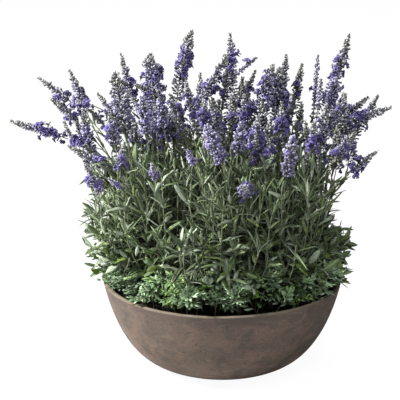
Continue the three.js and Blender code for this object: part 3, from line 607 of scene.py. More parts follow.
def broad_leaf_material():
    """The low broad leaves: deep glossy green, painted near black where the tone gives them shade, some with
    a minty bloom, a few yellow-green.
    """
    material, tree, shader = new_material("Broad leaf", 0.4, Specular_IOR_Level=0.45,
                                          Specular_Tint=(0.75, 0.9, 0.5, 1))
    marks = growth_marks(tree, 210.0, 26.0)
    # Painted shade: a low tone, on the leaves low on their shoot, darkens the leaf to near black; the minty
    # bloom grows with the tone, partly as a painted highlight.
    painted_shade_and_age = tree.mix(marks["Tone"], (0.009, 0.018, 0.004, 1), (0.078, 0.128, 0.040, 1))
    minty = tree.mix(tree.math("MULTIPLY", tree.range(marks["Draw"], 0.42, 0.72), tree.math(
        "MULTIPLY_ADD", marks["Tone"], 0.95, 0.05)), painted_shade_and_age, (0.37, 0.44, 0.33, 1))
    fresh = tree.mix(tree.range(marks["Draw"], 0.16, 0.04), minty, (0.12, 0.18, 0.025, 1))
    veins = tree.math("MAXIMUM", marks["Midrib"], tree.math("MULTIPLY", marks["Veins"], 0.4))
    veined = tree.mix(tree.math("MULTIPLY", veins, 0.3), fresh, (0.26, 0.35, 0.20, 1))
    tree.feed(shader, "Base Color", tree.mix(tree.math("MULTIPLY", marks["Dust"], 0.12), veined,
                                             (0.34, 0.42, 0.30, 1)))
    tree.feed(shader, "Roughness", tree.range(marks["Dust"], 0.0, 1.0, 0.28, 0.5))
    bump(tree, shader, tree.math("MULTIPLY_ADD", veins, -0.7, marks["Dust"]), 0.4, 0.0006)
    return material


def stem_material():
    """Downy grey-green stems, browner towards the woody foot."""
    material, tree, shader = new_material("Lavender stem", 0.75)
    marks = growth_marks(tree, 420.0, 160.0)
    bark = tree.mix(tree.range(marks["Along"], 0.05, 0.45), (0.075, 0.055, 0.035, 1),
                    (0.130, 0.160, 0.080, 1))
    light = tree.mix(tree.math("MULTIPLY", marks["Draw"], 0.75), bark, (0.30, 0.32, 0.21, 1))
    tree.feed(shader, "Base Color", tree.mix(tree.math("MULTIPLY", marks["Dust"], 0.4), light,
                                             (0.34, 0.36, 0.27, 1)))
    bump(tree, shader, marks["Veins"], 0.3, 0.0003)
    return material


def calyx_material():
    """Ribbed calyxes: grey-green where the tone is low, lilac where it is high, with painted shade at the
    base, pale at the mouth partly as a painted highlight.
    """
    material, tree, shader = new_material("Lavender calyx", 0.7, Sheen_Weight=0.2, Sheen_Roughness=0.6)
    marks = growth_marks(tree, 520.0, 12.0)
    light = tree.range(marks["Draw"], 0.25, 0.95)
    green = tree.mix(light, (0.050, 0.055, 0.038, 1), (0.48, 0.495, 0.435, 1))
    violet = tree.mix(light, (0.080, 0.072, 0.165, 1), (0.455, 0.435, 0.70, 1))
    rich = tree.mix(light, (0.080, 0.064, 0.190, 1), (0.31, 0.28, 0.58, 1))
    body = tree.mix(tree.range(marks["Tone"], 0.8, 1.15), tree.mix(marks["Tone"], green, violet), rich)
    # The pale mouth is partly a painted highlight on each bead, and the near black at the base is painted
    # shade between the whorls.
    mouth = tree.mix(tree.math("MULTIPLY", tree.range(marks["Along"], 0.7, 1.0), 0.2), body,
                     (0.55, 0.54, 0.58, 1))
    painted_shade_at_calyx_base = tree.mix(tree.math("MULTIPLY", tree.range(marks["Along"], 0.62, 0.12), 0.74), mouth,
                      (0.022, 0.024, 0.020, 1))
    tree.feed(shader, "Base Color", tree.mix(tree.math("MULTIPLY", marks["Dust"], 0.15), painted_shade_at_calyx_base,
                                             (0.50, 0.49, 0.53, 1)))
    bump(tree, shader, marks["Veins"], 0.4, 0.0004)
    return material


def flower_material(settings):
    """Open flowers: deep violet-blue at the foot of the tube and of each lobe, lighter at the lips, some
    lilac, some in shadow.
    """
    material, tree, shader = new_material("Lavender flower", 0.5, Sheen_Weight=0.3, Sheen_Roughness=0.4)
    marks = growth_marks(tree, 600.0, 20.0)
    deep = colour(0.5 * c for c in settings.violet)
    body = tree.mix(tree.range(marks["Along"], 0.0, 0.8), deep, colour(settings.violet))
    lilac = tree.mix(tree.range(marks["Draw"], 0.5, 1.1), body, (0.125, 0.102, 0.315, 1))
    pink = tree.mix(tree.math("MULTIPLY", tree.range(marks["Draw"], 0.012, 0.0), 0.8), lilac,
                    (0.34, 0.15, 0.40, 1))
    shaded = tree.mix(tree.range(marks["Tone"], 0.55, 0.05, 0.0, 0.75), pink,
                      colour(0.36 * c for c in settings.violet))
    veined = tree.mix(tree.math("MULTIPLY", marks["Midrib"], 0.35), shaded, deep)
    tree.feed(shader, "Base Color", tree.mix(tree.math("MULTIPLY", marks["Dust"], 0.15), veined,
                                             (0.22, 0.195, 0.41, 1)))
    bump(tree, shader, marks["Veins"], 0.25, 0.0003)
    return material


def edging_leaf_material(settings):
    """Green lobed leaves with pale veins, painted darker where the tone gives them shade, many of them minty,
    the youngest yellow-green.
    """
    material, tree, shader = new_material("Edging leaf", 0.42, Specular_IOR_Level=0.45,
                                          Specular_Tint=(0.8, 0.95, 0.65, 1))
    marks = growth_marks(tree, 330.0, 19.0)
    # Painted shade: a low tone darkens the leaf towards a quarter of its green; the minty bloom grows with
    # the tone too, partly as a painted highlight.
    dark = colour(0.24 * c for c in settings.leaf_green)
    body = tree.mix(marks["Tone"], dark, colour(settings.leaf_green))
    minty = tree.mix(tree.math("MULTIPLY", tree.range(marks["Draw"], 0.3, 0.75), tree.math(
        "MULTIPLY_ADD", marks["Tone"], 0.7, 0.3)), body, (0.46, 0.60, 0.41, 1))
    young = tree.mix(tree.range(marks["Draw"], 0.17, 0.05), minty, (0.165, 0.28, 0.050, 1))
    veins = tree.math("MAXIMUM", marks["Midrib"], tree.math("MULTIPLY", marks["Veins"], 0.45))
    veined = tree.mix(tree.math("MULTIPLY", veins, 0.25), young, (0.44, 0.55, 0.40, 1))
    tree.feed(shader, "Base Color", tree.mix(tree.math("MULTIPLY", marks["Dust"], 0.15), veined,
                                             (0.52, 0.62, 0.45, 1)))
    tree.feed(shader, "Roughness", tree.range(marks["Dust"], 0.0, 1.0, 0.36, 0.56))
    bump(tree, shader, tree.math("MULTIPLY_ADD", veins, -0.8, marks["Dust"]), 0.4, 0.0006)
    return material


def backdrop_material():
    """A matt floor: plain white to the camera, with little shade, and pale grey to the light."""
    material, tree, shader = new_material("Backdrop", 0.95)
    at = tree.add("ShaderNodeTexCoord").outputs["Object"]
    card = tree.mix(tree.noise(at, 40.0, 2.0), (0.60, 0.60, 0.60, 1), (0.64, 0.64, 0.64, 1))
    seen = tree.add("ShaderNodeLightPath").outputs["Is Camera Ray"]
    tree.feed(shader, "Base Color", tree.mix(seen, card, (0.08, 0.08, 0.08, 1)))
    shader.inputs["Emission Color"].default_value = (1, 1, 1, 1)
    tree.feed(shader, "Emission Strength", tree.math("MULTIPLY", seen, 0.95))
    return material


def wall_radius(z, inset=0.0):
    """The bowl wall's radius at a height: a blunted ellipse, set in by a wall thickness.

    The share of its radius to the power ACROSS and the share of its depth to the power DOWN add up to one.
    """
    drop = np.clip((BOWL_HEIGHT - z) / (CURVE_DEPTH - inset), 0, 1)
    return (RIM_RADIUS - inset) * (1 - drop ** CURVE_DOWN) ** (1 / CURVE_ACROSS)


def turned_rings(radius, height, around, wander):
    """A profile turned about the Z axis, its radius and height multiplied by the wander at each angle."""
    angle = np.arange(around) / around * 2 * np.pi
    swell, rise = wander(angle[None], height[:, None])
    r = radius[:, None] * (1 + swell)
    z = height[:, None] + rise
    return np.stack([r * np.cos(angle), r * np.sin(angle), z + 0 * r], axis=-1)[None]


def build_bowl(settings):
    """The bowl: a flat foot, a curved wall, a rounded lip and the same wall inside, turned about Z.

    Its radius wanders with slow sines of the angle, which fade to nothing at the foot.
    """
    foot = np.linspace(0.01, 0.90, 6) * wall_radius(0.0)
    heights = 0.5 * (BOWL_HEIGHT - LIP_ROUND) * (1 - np.cos(np.linspace(0, np.pi, 46)))
    turn = np.linspace(0, np.pi, 15)[1:-1]
    lip_middle = RIM_RADIUS - WALL / 2
    inner = np.linspace(BOWL_HEIGHT - LIP_ROUND, FLOOR, 30)
    radius = np.concatenate([
        foot, wall_radius(heights), lip_middle + (WALL / 2 - 0.0003) * np.cos(turn),
        wall_radius(inner, WALL), np.linspace(0.9, 0.02, 6) * wall_radius(FLOOR, WALL)])
    height = np.concatenate([
        np.zeros(6), heights, BOWL_HEIGHT - LIP_ROUND + LIP_ROUND * np.sin(turn), inner, np.full(6, FLOOR)])

    def wander(angle, z):
        free = np.clip(z / 0.05, 0, 1) * settings.unevenness / RIM_RADIUS
        waves = np.sin(2 * angle + 0.7) + 0.6 * np.sin(3 * angle + 2.1) + 0.35 * np.sin(7 * angle + 26 * z)
        dips = 0.35 * np.sin(5 * angle + 1.1) + 0.3 * np.sin(9 * angle + 0.4)
        top = np.clip((z - 0.12) / 0.03, 0, 1)
        return free * waves, top * settings.unevenness * (dips - 0.6)

    rings = turned_rings(radius, height, 192, wander)
    marks = np.full(rings.shape[:3] + (4,), 0.5)
    surface = Surface()
    start, end = np.zeros((1, 3)), np.array([[0, 0, FLOOR]])
    surface.loft(rings, start, end, marks)
    piece = surface.object("bowl_stoneware", [stoneware_material(settings)])
    place(piece, "bowl", "bowl")


def soil_height(radius):
    """The soil's top: a low cone over the middle half, sloping to the edge."""
    shoulder = SOIL_EDGE_Z + 0.7 * SOIL_CROWN
    edge = wall_radius(SOIL_EDGE_Z, WALL)
    return np.interp(radius, [0, RIM_RADIUS / 2, edge], [SOIL_EDGE_Z + SOIL_CROWN, shoulder, SOIL_EDGE_Z])


def build_soil(settings):
    """The soil: a closed solid that fills the bowl, its top raised by a sum of many small waves."""
    rng = np.random.default_rng(3)
    gap = 0.0006
    top = np.linspace(0.004, 1.0, 60) * (wall_radius(SOIL_EDGE_Z, WALL) - gap)
    side = np.linspace(SOIL_EDGE_Z - 0.004, FLOOR + gap, 14)
    bottom = np.linspace(0.9, 0.02, 4) * (wall_radius(FLOOR, WALL) - gap)
    radius = np.concatenate([top, wall_radius(side, WALL) - gap, bottom])[::-1]
    height = np.concatenate([soil_height(top), side, np.full(4, FLOOR + gap)])[::-1]
    waves = rng.normal(0, 1, (90, 2)) * np.geomspace(60, 700, 90)[:, None]
    phases = rng.uniform(0, 6.28, 90)

    def wander(angle, z):
        r = radius[:, None]
        x, y = r * np.cos(angle), r * np.sin(angle)
        lumps = np.sin(x[..., None] * waves[:, 0] + y[..., None] * waves[:, 1] + phases).sum(-1) / 7
        on_top = (np.arange(len(radius)) >= len(radius) - 58)[:, None]
        return 0 * lumps, on_top * settings.crumb * (lumps - 0.3)

    rings = turned_rings(radius, height, 180, wander)
    surface = Surface()
    marks = np.full(rings.shape[:3] + (4,), 0.5)
    surface.loft(rings, np.array([[0, 0, FLOOR + gap]]), np.array([[0, 0, SOIL_EDGE_Z + SOIL_CROWN]]), marks)
    place(surface.object("potting_soil", [soil_material()]), "soil", "soil")


def bush_middle(plant, z):
    """A plant's middle line: over its crown at the soil, leaning outwards by the power 1.4 of the height."""
    crown = np.array([*plant["crown"], 0.0]) * MM
    out = unit(crown)
    low = SOIL_EDGE_Z + SOIL_CROWN + 0.002
    share = np.clip((z - low) / (plant["height"] * MM - low), 0, None)
    z = np.asarray(z, float)
    leaning = np.multiply.outer(plant["lean"] * MM * share ** 1.4, out)
    return crown + leaning + np.multiply.outer(z, [0, 0, 1.0])


def round_about(angle):
    """Level directions at angles round the vertical: outward, and along the circle."""
    return (np.stack([np.cos(angle), np.sin(angle), 0 * angle], axis=-1),
            np.stack([-np.sin(angle), np.cos(angle), 0 * angle], axis=-1))


def spike_layout(plant, spike):
    """A head's tip, foot and direction, and the three points that shape its stem."""
    tip = np.array(spike["tip"]) * MM
    crown = np.array(plant["crown"]) * MM
    away = math.atan2(tip[1] - crown[1], tip[0] - crown[0])
    aim = math.radians(spike["aim"]) if "aim" in spike else away
    tilt = math.radians(spike["tilt"])
    way = np.array([math.sin(tilt) * math.cos(aim), math.sin(tilt) * math.sin(aim), math.cos(tilt)])
    foot = tip - way * spike["length"] * MM
    start = bush_middle(plant, SOIL_EDGE_Z + 0.62 * (plant["height"] * MM - SOIL_EDGE_Z))
    knee = foot - 0.42 * np.linalg.norm(foot - start) * way
    return tip, foot, way, (start, knee, foot)


def nearest_plant(x, y):
    """Which plant a shoot that ends over x, y belongs to: the nearest of the crowns moved outwards."""
    crowns = np.array([p["crown"] for p in PLANTS]) * MM * 1.45
    return np.argmin((x[:, None] - crowns[:, 0]) ** 2 + (y[:, None] - crowns[:, 1]) ** 2, axis=1)


def leaf_pairs(rng, ends, shares, size, spread, droop, loose=1.0):
    """Leaves in opposite pairs up many shoots, each pair a quarter turn from the one below.

    ends are the three points of each shoot's curve, and shares, size, spread (the angle off the shoot) and
    droop are [shoot, pair]. Returns each leaf's root, way, face, length, bend and share of the shoot.
    """
    point, tangent = bezier(ends, np.clip(shares, 0, 1))
    hint = square_to(tangent, np.array([0.2, 0.1, 1.0]) + 0 * tangent)
    other = np.cross(tangent, hint)
    first = rng.uniform(0, 6.28, (len(shares), 1)) + np.arange(shares.shape[1]) * (np.pi / 2)
    leaves = []
    for half in (0.0, np.pi):
        turn = first + half + rng.normal(0, 0.5 * loose, first.shape)
        out = np.cos(turn)[..., None] * hint + np.sin(turn)[..., None] * other
        angle = (spread + rng.normal(0, 0.28 * loose, turn.shape))[..., None]
        way = np.cos(angle) * tangent + np.sin(angle) * out
        face = square_to(way, tangent)
        roll = rng.normal(0, 0.6 * loose, turn.shape)[..., None]
        face = np.cos(roll) * face + np.sin(roll) * np.cross(way, face)
        leaves.append([point.reshape(-1, 3), way.reshape(-1, 3), face.reshape(-1, 3),
                       (size * rng.uniform(0.6, 1.35, turn.shape)).ravel(), droop.ravel(), shares.ravel()])
    return [np.concatenate(pair) for pair in zip(*leaves)]


def clear_of_bowl(root, way, face, length, bend):
    """Which leaves keep out of the bowl's wall and of the soil, by their tips."""
    end = root + length[:, None] * (way - bend[:, None] * face)
    radius = np.hypot(end[:, 0], end[:, 1])
    over = (end[:, 2] > BOWL_HEIGHT + 0.005) & (root[:, 2] > BOWL_HEIGHT + 0.002)
    inside = radius < wall_radius(np.clip(end[:, 2], SOIL_EDGE_Z, BOWL_HEIGHT), WALL) - 0.003
    return (inside | over) & (end[:, 2] > soil_height(radius) + 0.001)


def tall_shoots(rng, settings):
    """The curves of the tall shoots, and the plant that each grows from.

    They end evenly over a disc, by the golden angle, a little wider than deep, on a dome that is highest in
    the middle, and each bows outwards before it rises. Some are shorter, mostly towards the rim.
    """
    count = settings.shoots
    number = np.arange(count) + 0.5
    angle = number * GOLDEN_ANGLE + rng.normal(0, 0.16, count)
    radius = 0.203 * np.sqrt(number / count) + rng.normal(0, 0.006, count)
    x = radius * np.where(np.cos(angle) > 0, 0.89, 1.05) * np.cos(angle)
    y = radius * np.where(np.sin(angle) > 0, 0.89, 0.94) * np.sin(angle)
    z = 0.385 - 0.045 * (radius / 0.2) ** 2 + np.clip(rng.normal(0, 0.018, count), -0.05, 0.02)
    short = rng.random(count) < 0.2 + 0.4 * (radius / 0.2) ** 2
    z = np.where(short, z - rng.uniform(0.03, 0.15, count), z)
    owner = nearest_plant(x, y)
    crowns = np.array([p["crown"] for p in PLANTS])[owner] * MM
    base = np.stack([crowns[:, 0] + 0.1 * (x - crowns[:, 0]), crowns[:, 1] + 0.1 * (y - crowns[:, 1]),
                     np.full(count, SOIL_EDGE_Z - 0.004)], axis=-1)
    knee = np.stack([0.9 * x + 0.016 * np.cos(angle), 0.9 * y + 0.016 * np.sin(angle),
                     0.156 + 0.36 * (z - 0.156)], axis=-1) + rng.normal(0, 0.012, (count, 3)) * [1, 1, 0.3]
    return (base, knee, np.stack([x, y, z], axis=-1)), owner


def low_shoots(rng, settings):
    """The curves of the short shoots round the bush's foot, and the plant that each grows from.

    They stand on rings between the crowns and the rim. Each rises, then arches outwards. On the pot's two
    sides they stand closer and reach further over the rim, and on the left many are taller.
    """
    count = settings.low_shoots
    even = (np.arange(count) * GOLDEN_SHARE % 1) * 2 * np.pi
    angle = even - 0.27 * np.sin(2 * even) + 0.04 * np.sin(7 * even + 1.0)
    left, right = np.clip(-np.cos(angle), 0, 1) ** 4, np.clip(np.cos(angle), 0, 1) ** 4
    flank = left + right
    foot = np.array([0.088, 0.108, 0.128])[np.arange(count) % 3] + 0.022 * flank + rng.normal(0, 0.006, count)
    out = rng.uniform(0.012, 0.058, count) + (left + 0.2 * right) * rng.uniform(0.015, 0.06, count)
    out = np.minimum(out, 0.180 + 0.035 * left + 0.02 * right - foot)
    rise = rng.uniform(0.048, 0.118, count) + left * rng.uniform(-0.03, 0.09, count) - 0.025 * right
    radial, along = round_about(angle)
    base = foot[:, None] * radial + (soil_height(foot) - 0.004)[:, None] * [0, 0, 1.0]
    sway = rng.normal(0, 0.016, (count, 1)) * along
    tip = base + out[:, None] * radial + rise[:, None] * [0, 0, 1.0] + sway
    knee = base + 0.1 * out[:, None] * radial + 0.75 * rise[:, None] * [0, 0, 1.0] + 0.4 * sway
    return (base, knee, tip), nearest_plant(tip[:, 0], tip[:, 1])


def build_foliage(settings):
    """The leafy shoots and flower stems of the eight plants: tall ones with narrow leaves, low with broad.

    A narrow leaf's tone, which sets its painted shade, rises with its height and its distance from the pot's
    axis, so the leaves low and deep in the bush are painted dark. Leaves that would cross the bowl or the
    soil are left out. So are narrow ones over the herbs, and about four in ten of the narrow ones that are
    far out on the right, or low down and not at the back.
    """
    rng = np.random.default_rng(settings.seed)
    ends, owner = tall_shoots(rng, settings)
    shape = (settings.shoots, settings.pairs)
    shares = np.linspace(0.2, 0.985, shape[1]) + rng.normal(0, 0.02, shape)
    size = settings.leaf_length * np.interp(shares, [0.2, 0.45, 0.85, 1], [0.75, 1.05, 1.1, 0.7])
    spread = np.interp(shares, [0.2, 0.6, 0.9, 1], [1.1, 0.92, 0.58, 0.28])
    tall = leaf_pairs(rng, ends, shares, size, spread, rng.normal(0.2, 0.36, shape))
    root, length = tall[0], tall[3]
    count = len(root)
    low = np.clip((0.29 - root[:, 2]) / 0.12, 0, 1)
    broad = rng.random(count) < 0.10 + 0.30 * low
    width = settings.leaf_width * rng.uniform(0.55, 1.3, count) * np.where(broad, 1.6, 1.0)
    high = np.clip((root[:, 2] - 0.17) / 0.15, 0, 1)
    outer = np.clip((np.hypot(root[:, 0], root[:, 1]) - 0.09) / 0.1, 0, 1)
    lit = np.tile(np.repeat(rng.normal(0, 0.2, settings.shoots), shape[1]), 2)
    # Painted shade: the tone darkens the leaves low in the bush and near its middle; lit gives each shoot a
    # random share of it.
    tone = np.clip(0.38 * high + 0.50 * outer - 0.16 + lit + rng.normal(0, 0.38, count), 0, 1)
    end = root + length[:, None] * tall[1]
    on_herbs = (end[:, 2] < 0.205) & (np.hypot(end[:, 0], end[:, 1]) > 0.128) & (np.abs(end[:, 0]) < 0.14)
    sparse = (root[:, 0] > 0.165) & (rng.random(count) < 0.4)
    thinned = (root[:, 2] < 0.238) & (root[:, 1] < 0.06) & (np.arange(count) * GOLDEN_SHARE % 1 < 0.42)
    tall_kept = clear_of_bowl(*tall[:5]) & ~on_herbs & ~sparse & ~thinned
    tall_owner = np.tile(np.repeat(owner, shape[1]), 2)
    tall_draw = rng.random(count) ** np.where(high > 0.6, 0.8, 1.1)

    low_ends, low_owner = low_shoots(rng, settings)
    shape = (settings.low_shoots, 5)
    shares = np.linspace(0.36, 0.99, 5) + rng.normal(0, 0.02, shape)
    size = 0.0290 * np.interp(shares, [0.3, 0.6, 1], [0.9, 1.1, 0.85])
    spread = np.interp(shares, [0.3, 0.9, 1], [1.15, 0.75, 0.5])
    wide = leaf_pairs(rng, low_ends, shares, size, spread, rng.normal(0.16, 0.22, shape), 1.15)
    wide_count = len(wide[0])
    limit = np.where(wide[0][:, 0] > 0.15, 0.18, np.where(wide[0][:, 0] > 0.03, 0.222, 0.236))
    wide_low = wide[0][:, 2] + rng.normal(0, 0.012, wide_count) < limit
    wide_width = wide[3] * (0.29 + 0.27 * rng.random(wide_count) ** 1.5) * np.where(wide_low, 1.0, 0.7)
    # Painted shade: the broad leaves low on their shoot get a low tone and are painted darker.
    wide_tone = np.interp(wide[5], [0.36, 1], [0.0, 1.0]) + rng.normal(0, 0.34, wide_count)
    wide_kept = clear_of_bowl(*wide[:5])
    wide_leaf_owner = np.tile(np.repeat(low_owner, shape[1]), 2)
    wide_draw = rng.random(wide_count)

    leaf, stem, broad_leaf = lavender_leaf_material(settings), stem_material(), broad_leaf_material()
    line = np.broadcast_to(np.linspace(0, 1, 7), (settings.shoots, 7))
    curve, _ = bezier(ends, line)
    low_curve, _ = bezier(low_ends, np.broadcast_to(np.linspace(0, 1, 5), (settings.low_shoots, 5)))
    for index, plant in enumerate(PLANTS):
        surface = Surface()
        mine = (tall_owner == index) & tall_kept
        surface.blades(*(part[mine] for part in tall[:4]), width[mine], NARROW_LEAF, tall[4][mine], 0.3,
                       LEAF_THICKNESS, tall_draw[mine], tone[mine], rng.normal(0, 0.8, mine.sum()))
        for slot, here in ((2, wide_low), (0, ~wide_low)):
            mine = (wide_leaf_owner == index) & wide_kept & here
            surface.blades(*(part[mine] for part in wide[:4]), wide_width[mine], BROAD_LEAF, wide[4][mine],
                           0.25, LEAF_THICKNESS, wide_draw[mine], np.clip(wide_tone[mine], 0, 1),
                           rng.normal(0, 0.4, mine.sum()), slot=slot)
        mine = owner == index
        surface.stems(curve[mine], np.tile(np.linspace(0.0013, 0.0006, 7), (mine.sum(), 1)),
                      rng.random(mine.sum()), np.ones(mine.sum()), slot=1)
        mine = low_owner == index
        surface.stems(low_curve[mine], np.tile(np.linspace(0.0011, 0.0006, 5), (mine.sum(), 1)),
                      rng.random(mine.sum()), np.ones(mine.sum()), slot=1)
        add_flower_stems(surface, plant, settings, rng)
        piece = surface.object("foliage_" + plant["name"], [leaf, stem, broad_leaf])
        place(piece, "foliage", "lavender_" + plant["name"])


def add_flower_stems(surface, plant, settings, rng):
    """Each flower stem: up the bush's middle line, then along its curve to the head, with a few leaves."""
    middle = bush_middle(plant, np.linspace(SOIL_EDGE_Z - 0.004, SOIL_EDGE_Z + 0.55 * (
        plant["height"] * MM - SOIL_EDGE_Z), 5))
    curves = [spike_layout(plant, spike) for spike in plant["spikes"]]
    ends = tuple(np.stack([c[3][i] for c in curves]) for i in range(3))
    n = len(curves)
    upper, _ = bezier(ends, np.broadcast_to(np.linspace(0, 1, 13), (n, 13)))
    fan = rng.normal(0, 0.006, (n, 1, 3)) * np.linspace(1, 0, 5)[None, :, None] * [1, 1, 0]
    points = np.concatenate([middle[None] + fan, upper], axis=1)
    radii = np.broadcast_to(np.linspace(0.0014, 0.0009, 18), (n, 18))
    surface.stems(points, radii, rng.random(n), np.ones(n), slot=1)
    shares = np.linspace(0.08, 0.72, 5) + rng.normal(0, 0.02, (n, 5))
    size = settings.leaf_length * np.broadcast_to(np.linspace(1.05, 0.6, 5), (n, 5))
    root, way, face, length, bend, _ = leaf_pairs(
        rng, ends, shares, size, np.full((n, 5), 0.42), rng.normal(0.08, 0.14, (n, 5)))
    wide = settings.leaf_width * 0.8 * rng.uniform(0.75, 1.1, len(root))
    draw = 0.75 * rng.random(len(root))
    surface.blades(root, way, face, length, wide, NARROW_LEAF, bend, 0.3, LEAF_THICKNESS, draw,
                   rng.uniform(0.2, 0.8, len(root)), rng.normal(0, 0.5, len(root)))


HEAD_KINDS = {
    # pitch of the whorls, calyxes in one, widest radius, radius at the tip, how fast it widens (all per
    # head), usual length of loose whorls below, how violet and how light the calyxes are, and open flowers
    "open": dict(pitch=4.7, ring=8, wide=7.4, tip=1.4, taper=0.30, loose=44,
                 violet=0.66, light=1.0, flowers=13),
    "grey": dict(pitch=4.7, ring=8, wide=7.8, tip=1.5, taper=0.32, loose=36,
                 violet=0.22, light=1.0, flowers=5),
    "lilac": dict(pitch=4.0, ring=10, wide=9.6, tip=1.8, taper=0.36, loose=26,
                  violet=0.85, light=0.95, flowers=7),
    "pale": dict(pitch=3.9, ring=12, wide=10.4, tip=2.4, taper=0.48, loose=16,
                 violet=1.0, light=1.1, flowers=9),
    "blue": dict(pitch=4.0, ring=11, wide=9.6, tip=1.6, taper=0.38, loose=30,
                 violet=0.95, light=1.05, flowers=7),
    "slim": dict(pitch=6.2, ring=7, wide=5.0, tip=1.1, taper=0.26, loose=40,
                 violet=0.8, light=1.0, flowers=2),
    "spent": dict(pitch=4.8, ring=8, wide=7.6, tip=1.8, taper=0.34, loose=30,
                  violet=0.30, light=0.4, flowers=5),
}


def add_head(surface, rng, settings, plant, spike):
    """One flower head: whorls of calyxes down from its tip, with clusters of open flowers at its middle.

    The head's radius grows evenly from the tip until it reaches its widest, and most kinds swell a little
    further down. Below the head the whorls stand on the stem's own curve, in slighter heads wider apart.
    """
    tip, foot, way, ends = spike_layout(plant, spike)
    name = spike.get("kind", "open")
    kind = HEAD_KINDS[name]
    full = spike.get("full", 1.0) * rng.uniform(0.92, 1.08)
    long = float(spike["length"])
    opens = spike.get("opens", rng.uniform(0.55, 0.85) * long)
    below = spike.get("loose", kind["loose"])
    steps = np.concatenate([np.linspace(0.7, 1.0, 7), np.full(60, 1.0)]) * kind["pitch"]
    down = 4.0 + np.cumsum(steps) - steps[0]
    whorls = down[down < long]
    apart = kind["pitch"] * (1.15 if full < 1.1 else 1.0)
    whorls = np.concatenate([whorls, whorls[-1] + apart * np.arange(1, 1 + int(below / apart))])
    ring = round(kind["ring"] * full ** 0.8)
    count = len(whorls) * ring
    distance = np.repeat(whorls, ring) + rng.normal(0, 0.6, count)
    turn = (np.arange(count) / ring + np.repeat(np.arange(len(whorls)), ring) * 0.0618) * 2 * np.pi
    turn = turn + rng.normal(0, 0.18, count)
    lump = 1 + 0.15 * np.sin(distance * rng.uniform(0.2, 0.35) + rng.uniform(0, 6) + 1.5 * np.sin(turn))
    kept = rng.random(count) > np.interp(distance, [0, 12, long - 8, long + below], [0.3, 0.05, 0.06, 0.25])
    distance, turn, lump = distance[kept], turn[kept], lump[kept]
    count = len(distance)

    def reach_at(d):
        swell = np.interp(d, [26, 60], [1.0, 1.0 if name in ("pale", "slim") else 1.28])
        return full * swell * np.minimum(kind["wide"], kind["tip"] * full ** 2 + kind["taper"] * (d - 4)) * MM

    centre, axis, radial = round_the_head(tip, foot, way, ends, distance * MM, turn)
    reach = reach_at(distance) * lump * rng.uniform(0.75, 1.15, count)
    spread = np.radians(np.interp(distance, [4, 12, 40, 90], [26, 52, 62, 74])) + rng.normal(0, 0.2, count)
    out = np.cos(spread)[:, None] * axis + np.sin(spread)[:, None] * radial
    length = np.clip(reach / np.sin(spread) * 0.86, 0.0040, 0.0076) * rng.uniform(0.88, 1.1, count)
    off = np.maximum(0.0006, reach - length * np.sin(spread))
    at = centre + radial * off[:, None]
    root = centre - axis * np.clip(off / np.tan(spread), -0.002, 0.005)[:, None]
    green_until = np.clip(rng.uniform(0.7, 0.9) * opens, 16, 42)
    top, base = {"pale": (0.7, 0.75), "slim": (0.8, 0.25), "open": (0.1, 0.55)}.get(name, (0.1, 0.75))
    tone = kind["violet"] * np.interp(distance, [0.5 * green_until, green_until, long, long + 30],
                                      [top, 1.0, 1.1, base])
    tone = np.clip(tone + rng.normal(0, 0.17, count) + rng.normal(0, 0.08), 0, 1)
    draw = rng.random(count) * kind["light"] * np.interp(distance, [long, long + below + 1], [1.0, 0.75])
    add_calyxes(surface, rng, root, at, out, length, 0.5 * settings.bud_size * np.interp(
        distance, [4, 16], [0.74, 1.0]), np.clip(draw, 0, 1), tone)

    line = np.linspace(1.5, long + 2, 9) * MM
    core, _ = on_head_line(tip, foot, way, ends, line)
    surface.stems(core[None, ::-1], np.interp(line, [0, 0.02], [0.0007, 0.0024])[None, ::-1],
                  np.array([0.1]), np.array([0.35]))

    number = max(1, round(kind["flowers"] * spike.get("bloom", 1.0) * long / 60))
    if name == "pale":
        place_down, size = rng.uniform(8, long, number), 0.6 * settings.flower_size
    else:
        heart = max(8, opens) + np.array([0.0, 9.0, 19.0, 31.0])
        place_down = heart[rng.choice(4, number, p=[0.4, 0.28, 0.2, 0.12])] + rng.normal(0, 3.6, number)
        size = settings.flower_size
    place_down = np.clip(place_down, 8, long + max(below, 8))
    turn = rng.uniform(0, 2 * np.pi) + rng.uniform(-2.6, 2.6, number)
    centre, axis, radial = round_the_head(tip, foot, way, ends, place_down * MM, turn)
    out = unit(radial + rng.normal(0.3, 0.35, (number, 1)) * axis)
    mouth = centre + (reach_at(place_down) * 0.9 + size * rng.uniform(0.0, 0.55, number))[:, None] * out
    add_open_flowers(surface, rng, size, centre, mouth, out, axis)


def round_the_head(tip, foot, way, ends, distance, turn):
    """For angles round a head at distances down from its tip: centre, upward direction and outward one."""
    centre, axis = on_head_line(tip, foot, way, ends, distance)
    first = square_to(axis, np.array([0.0, 1.0, 0.1]) + 0 * axis)
    second = np.cross(axis, first)
    return centre, axis, np.cos(turn)[:, None] * first + np.sin(turn)[:, None] * second


def on_head_line(tip, foot, way, ends, distance):
    """Point and upward direction at distances down from a head's tip: straight, then the stem's curve."""
    long = np.linalg.norm(tip - foot)
    pull = 2 * np.linalg.norm(ends[2] - ends[1])
    curved, bent = bezier(tuple(e[None] for e in ends), 1 - np.clip(distance - long, 0, None)[None] / pull)
    on_stem = (distance > long)[:, None]
    return (np.where(on_stem, curved[0], tip - distance[:, None] * way),
            np.where(on_stem, bent[0], way + 0 * curved[0]))


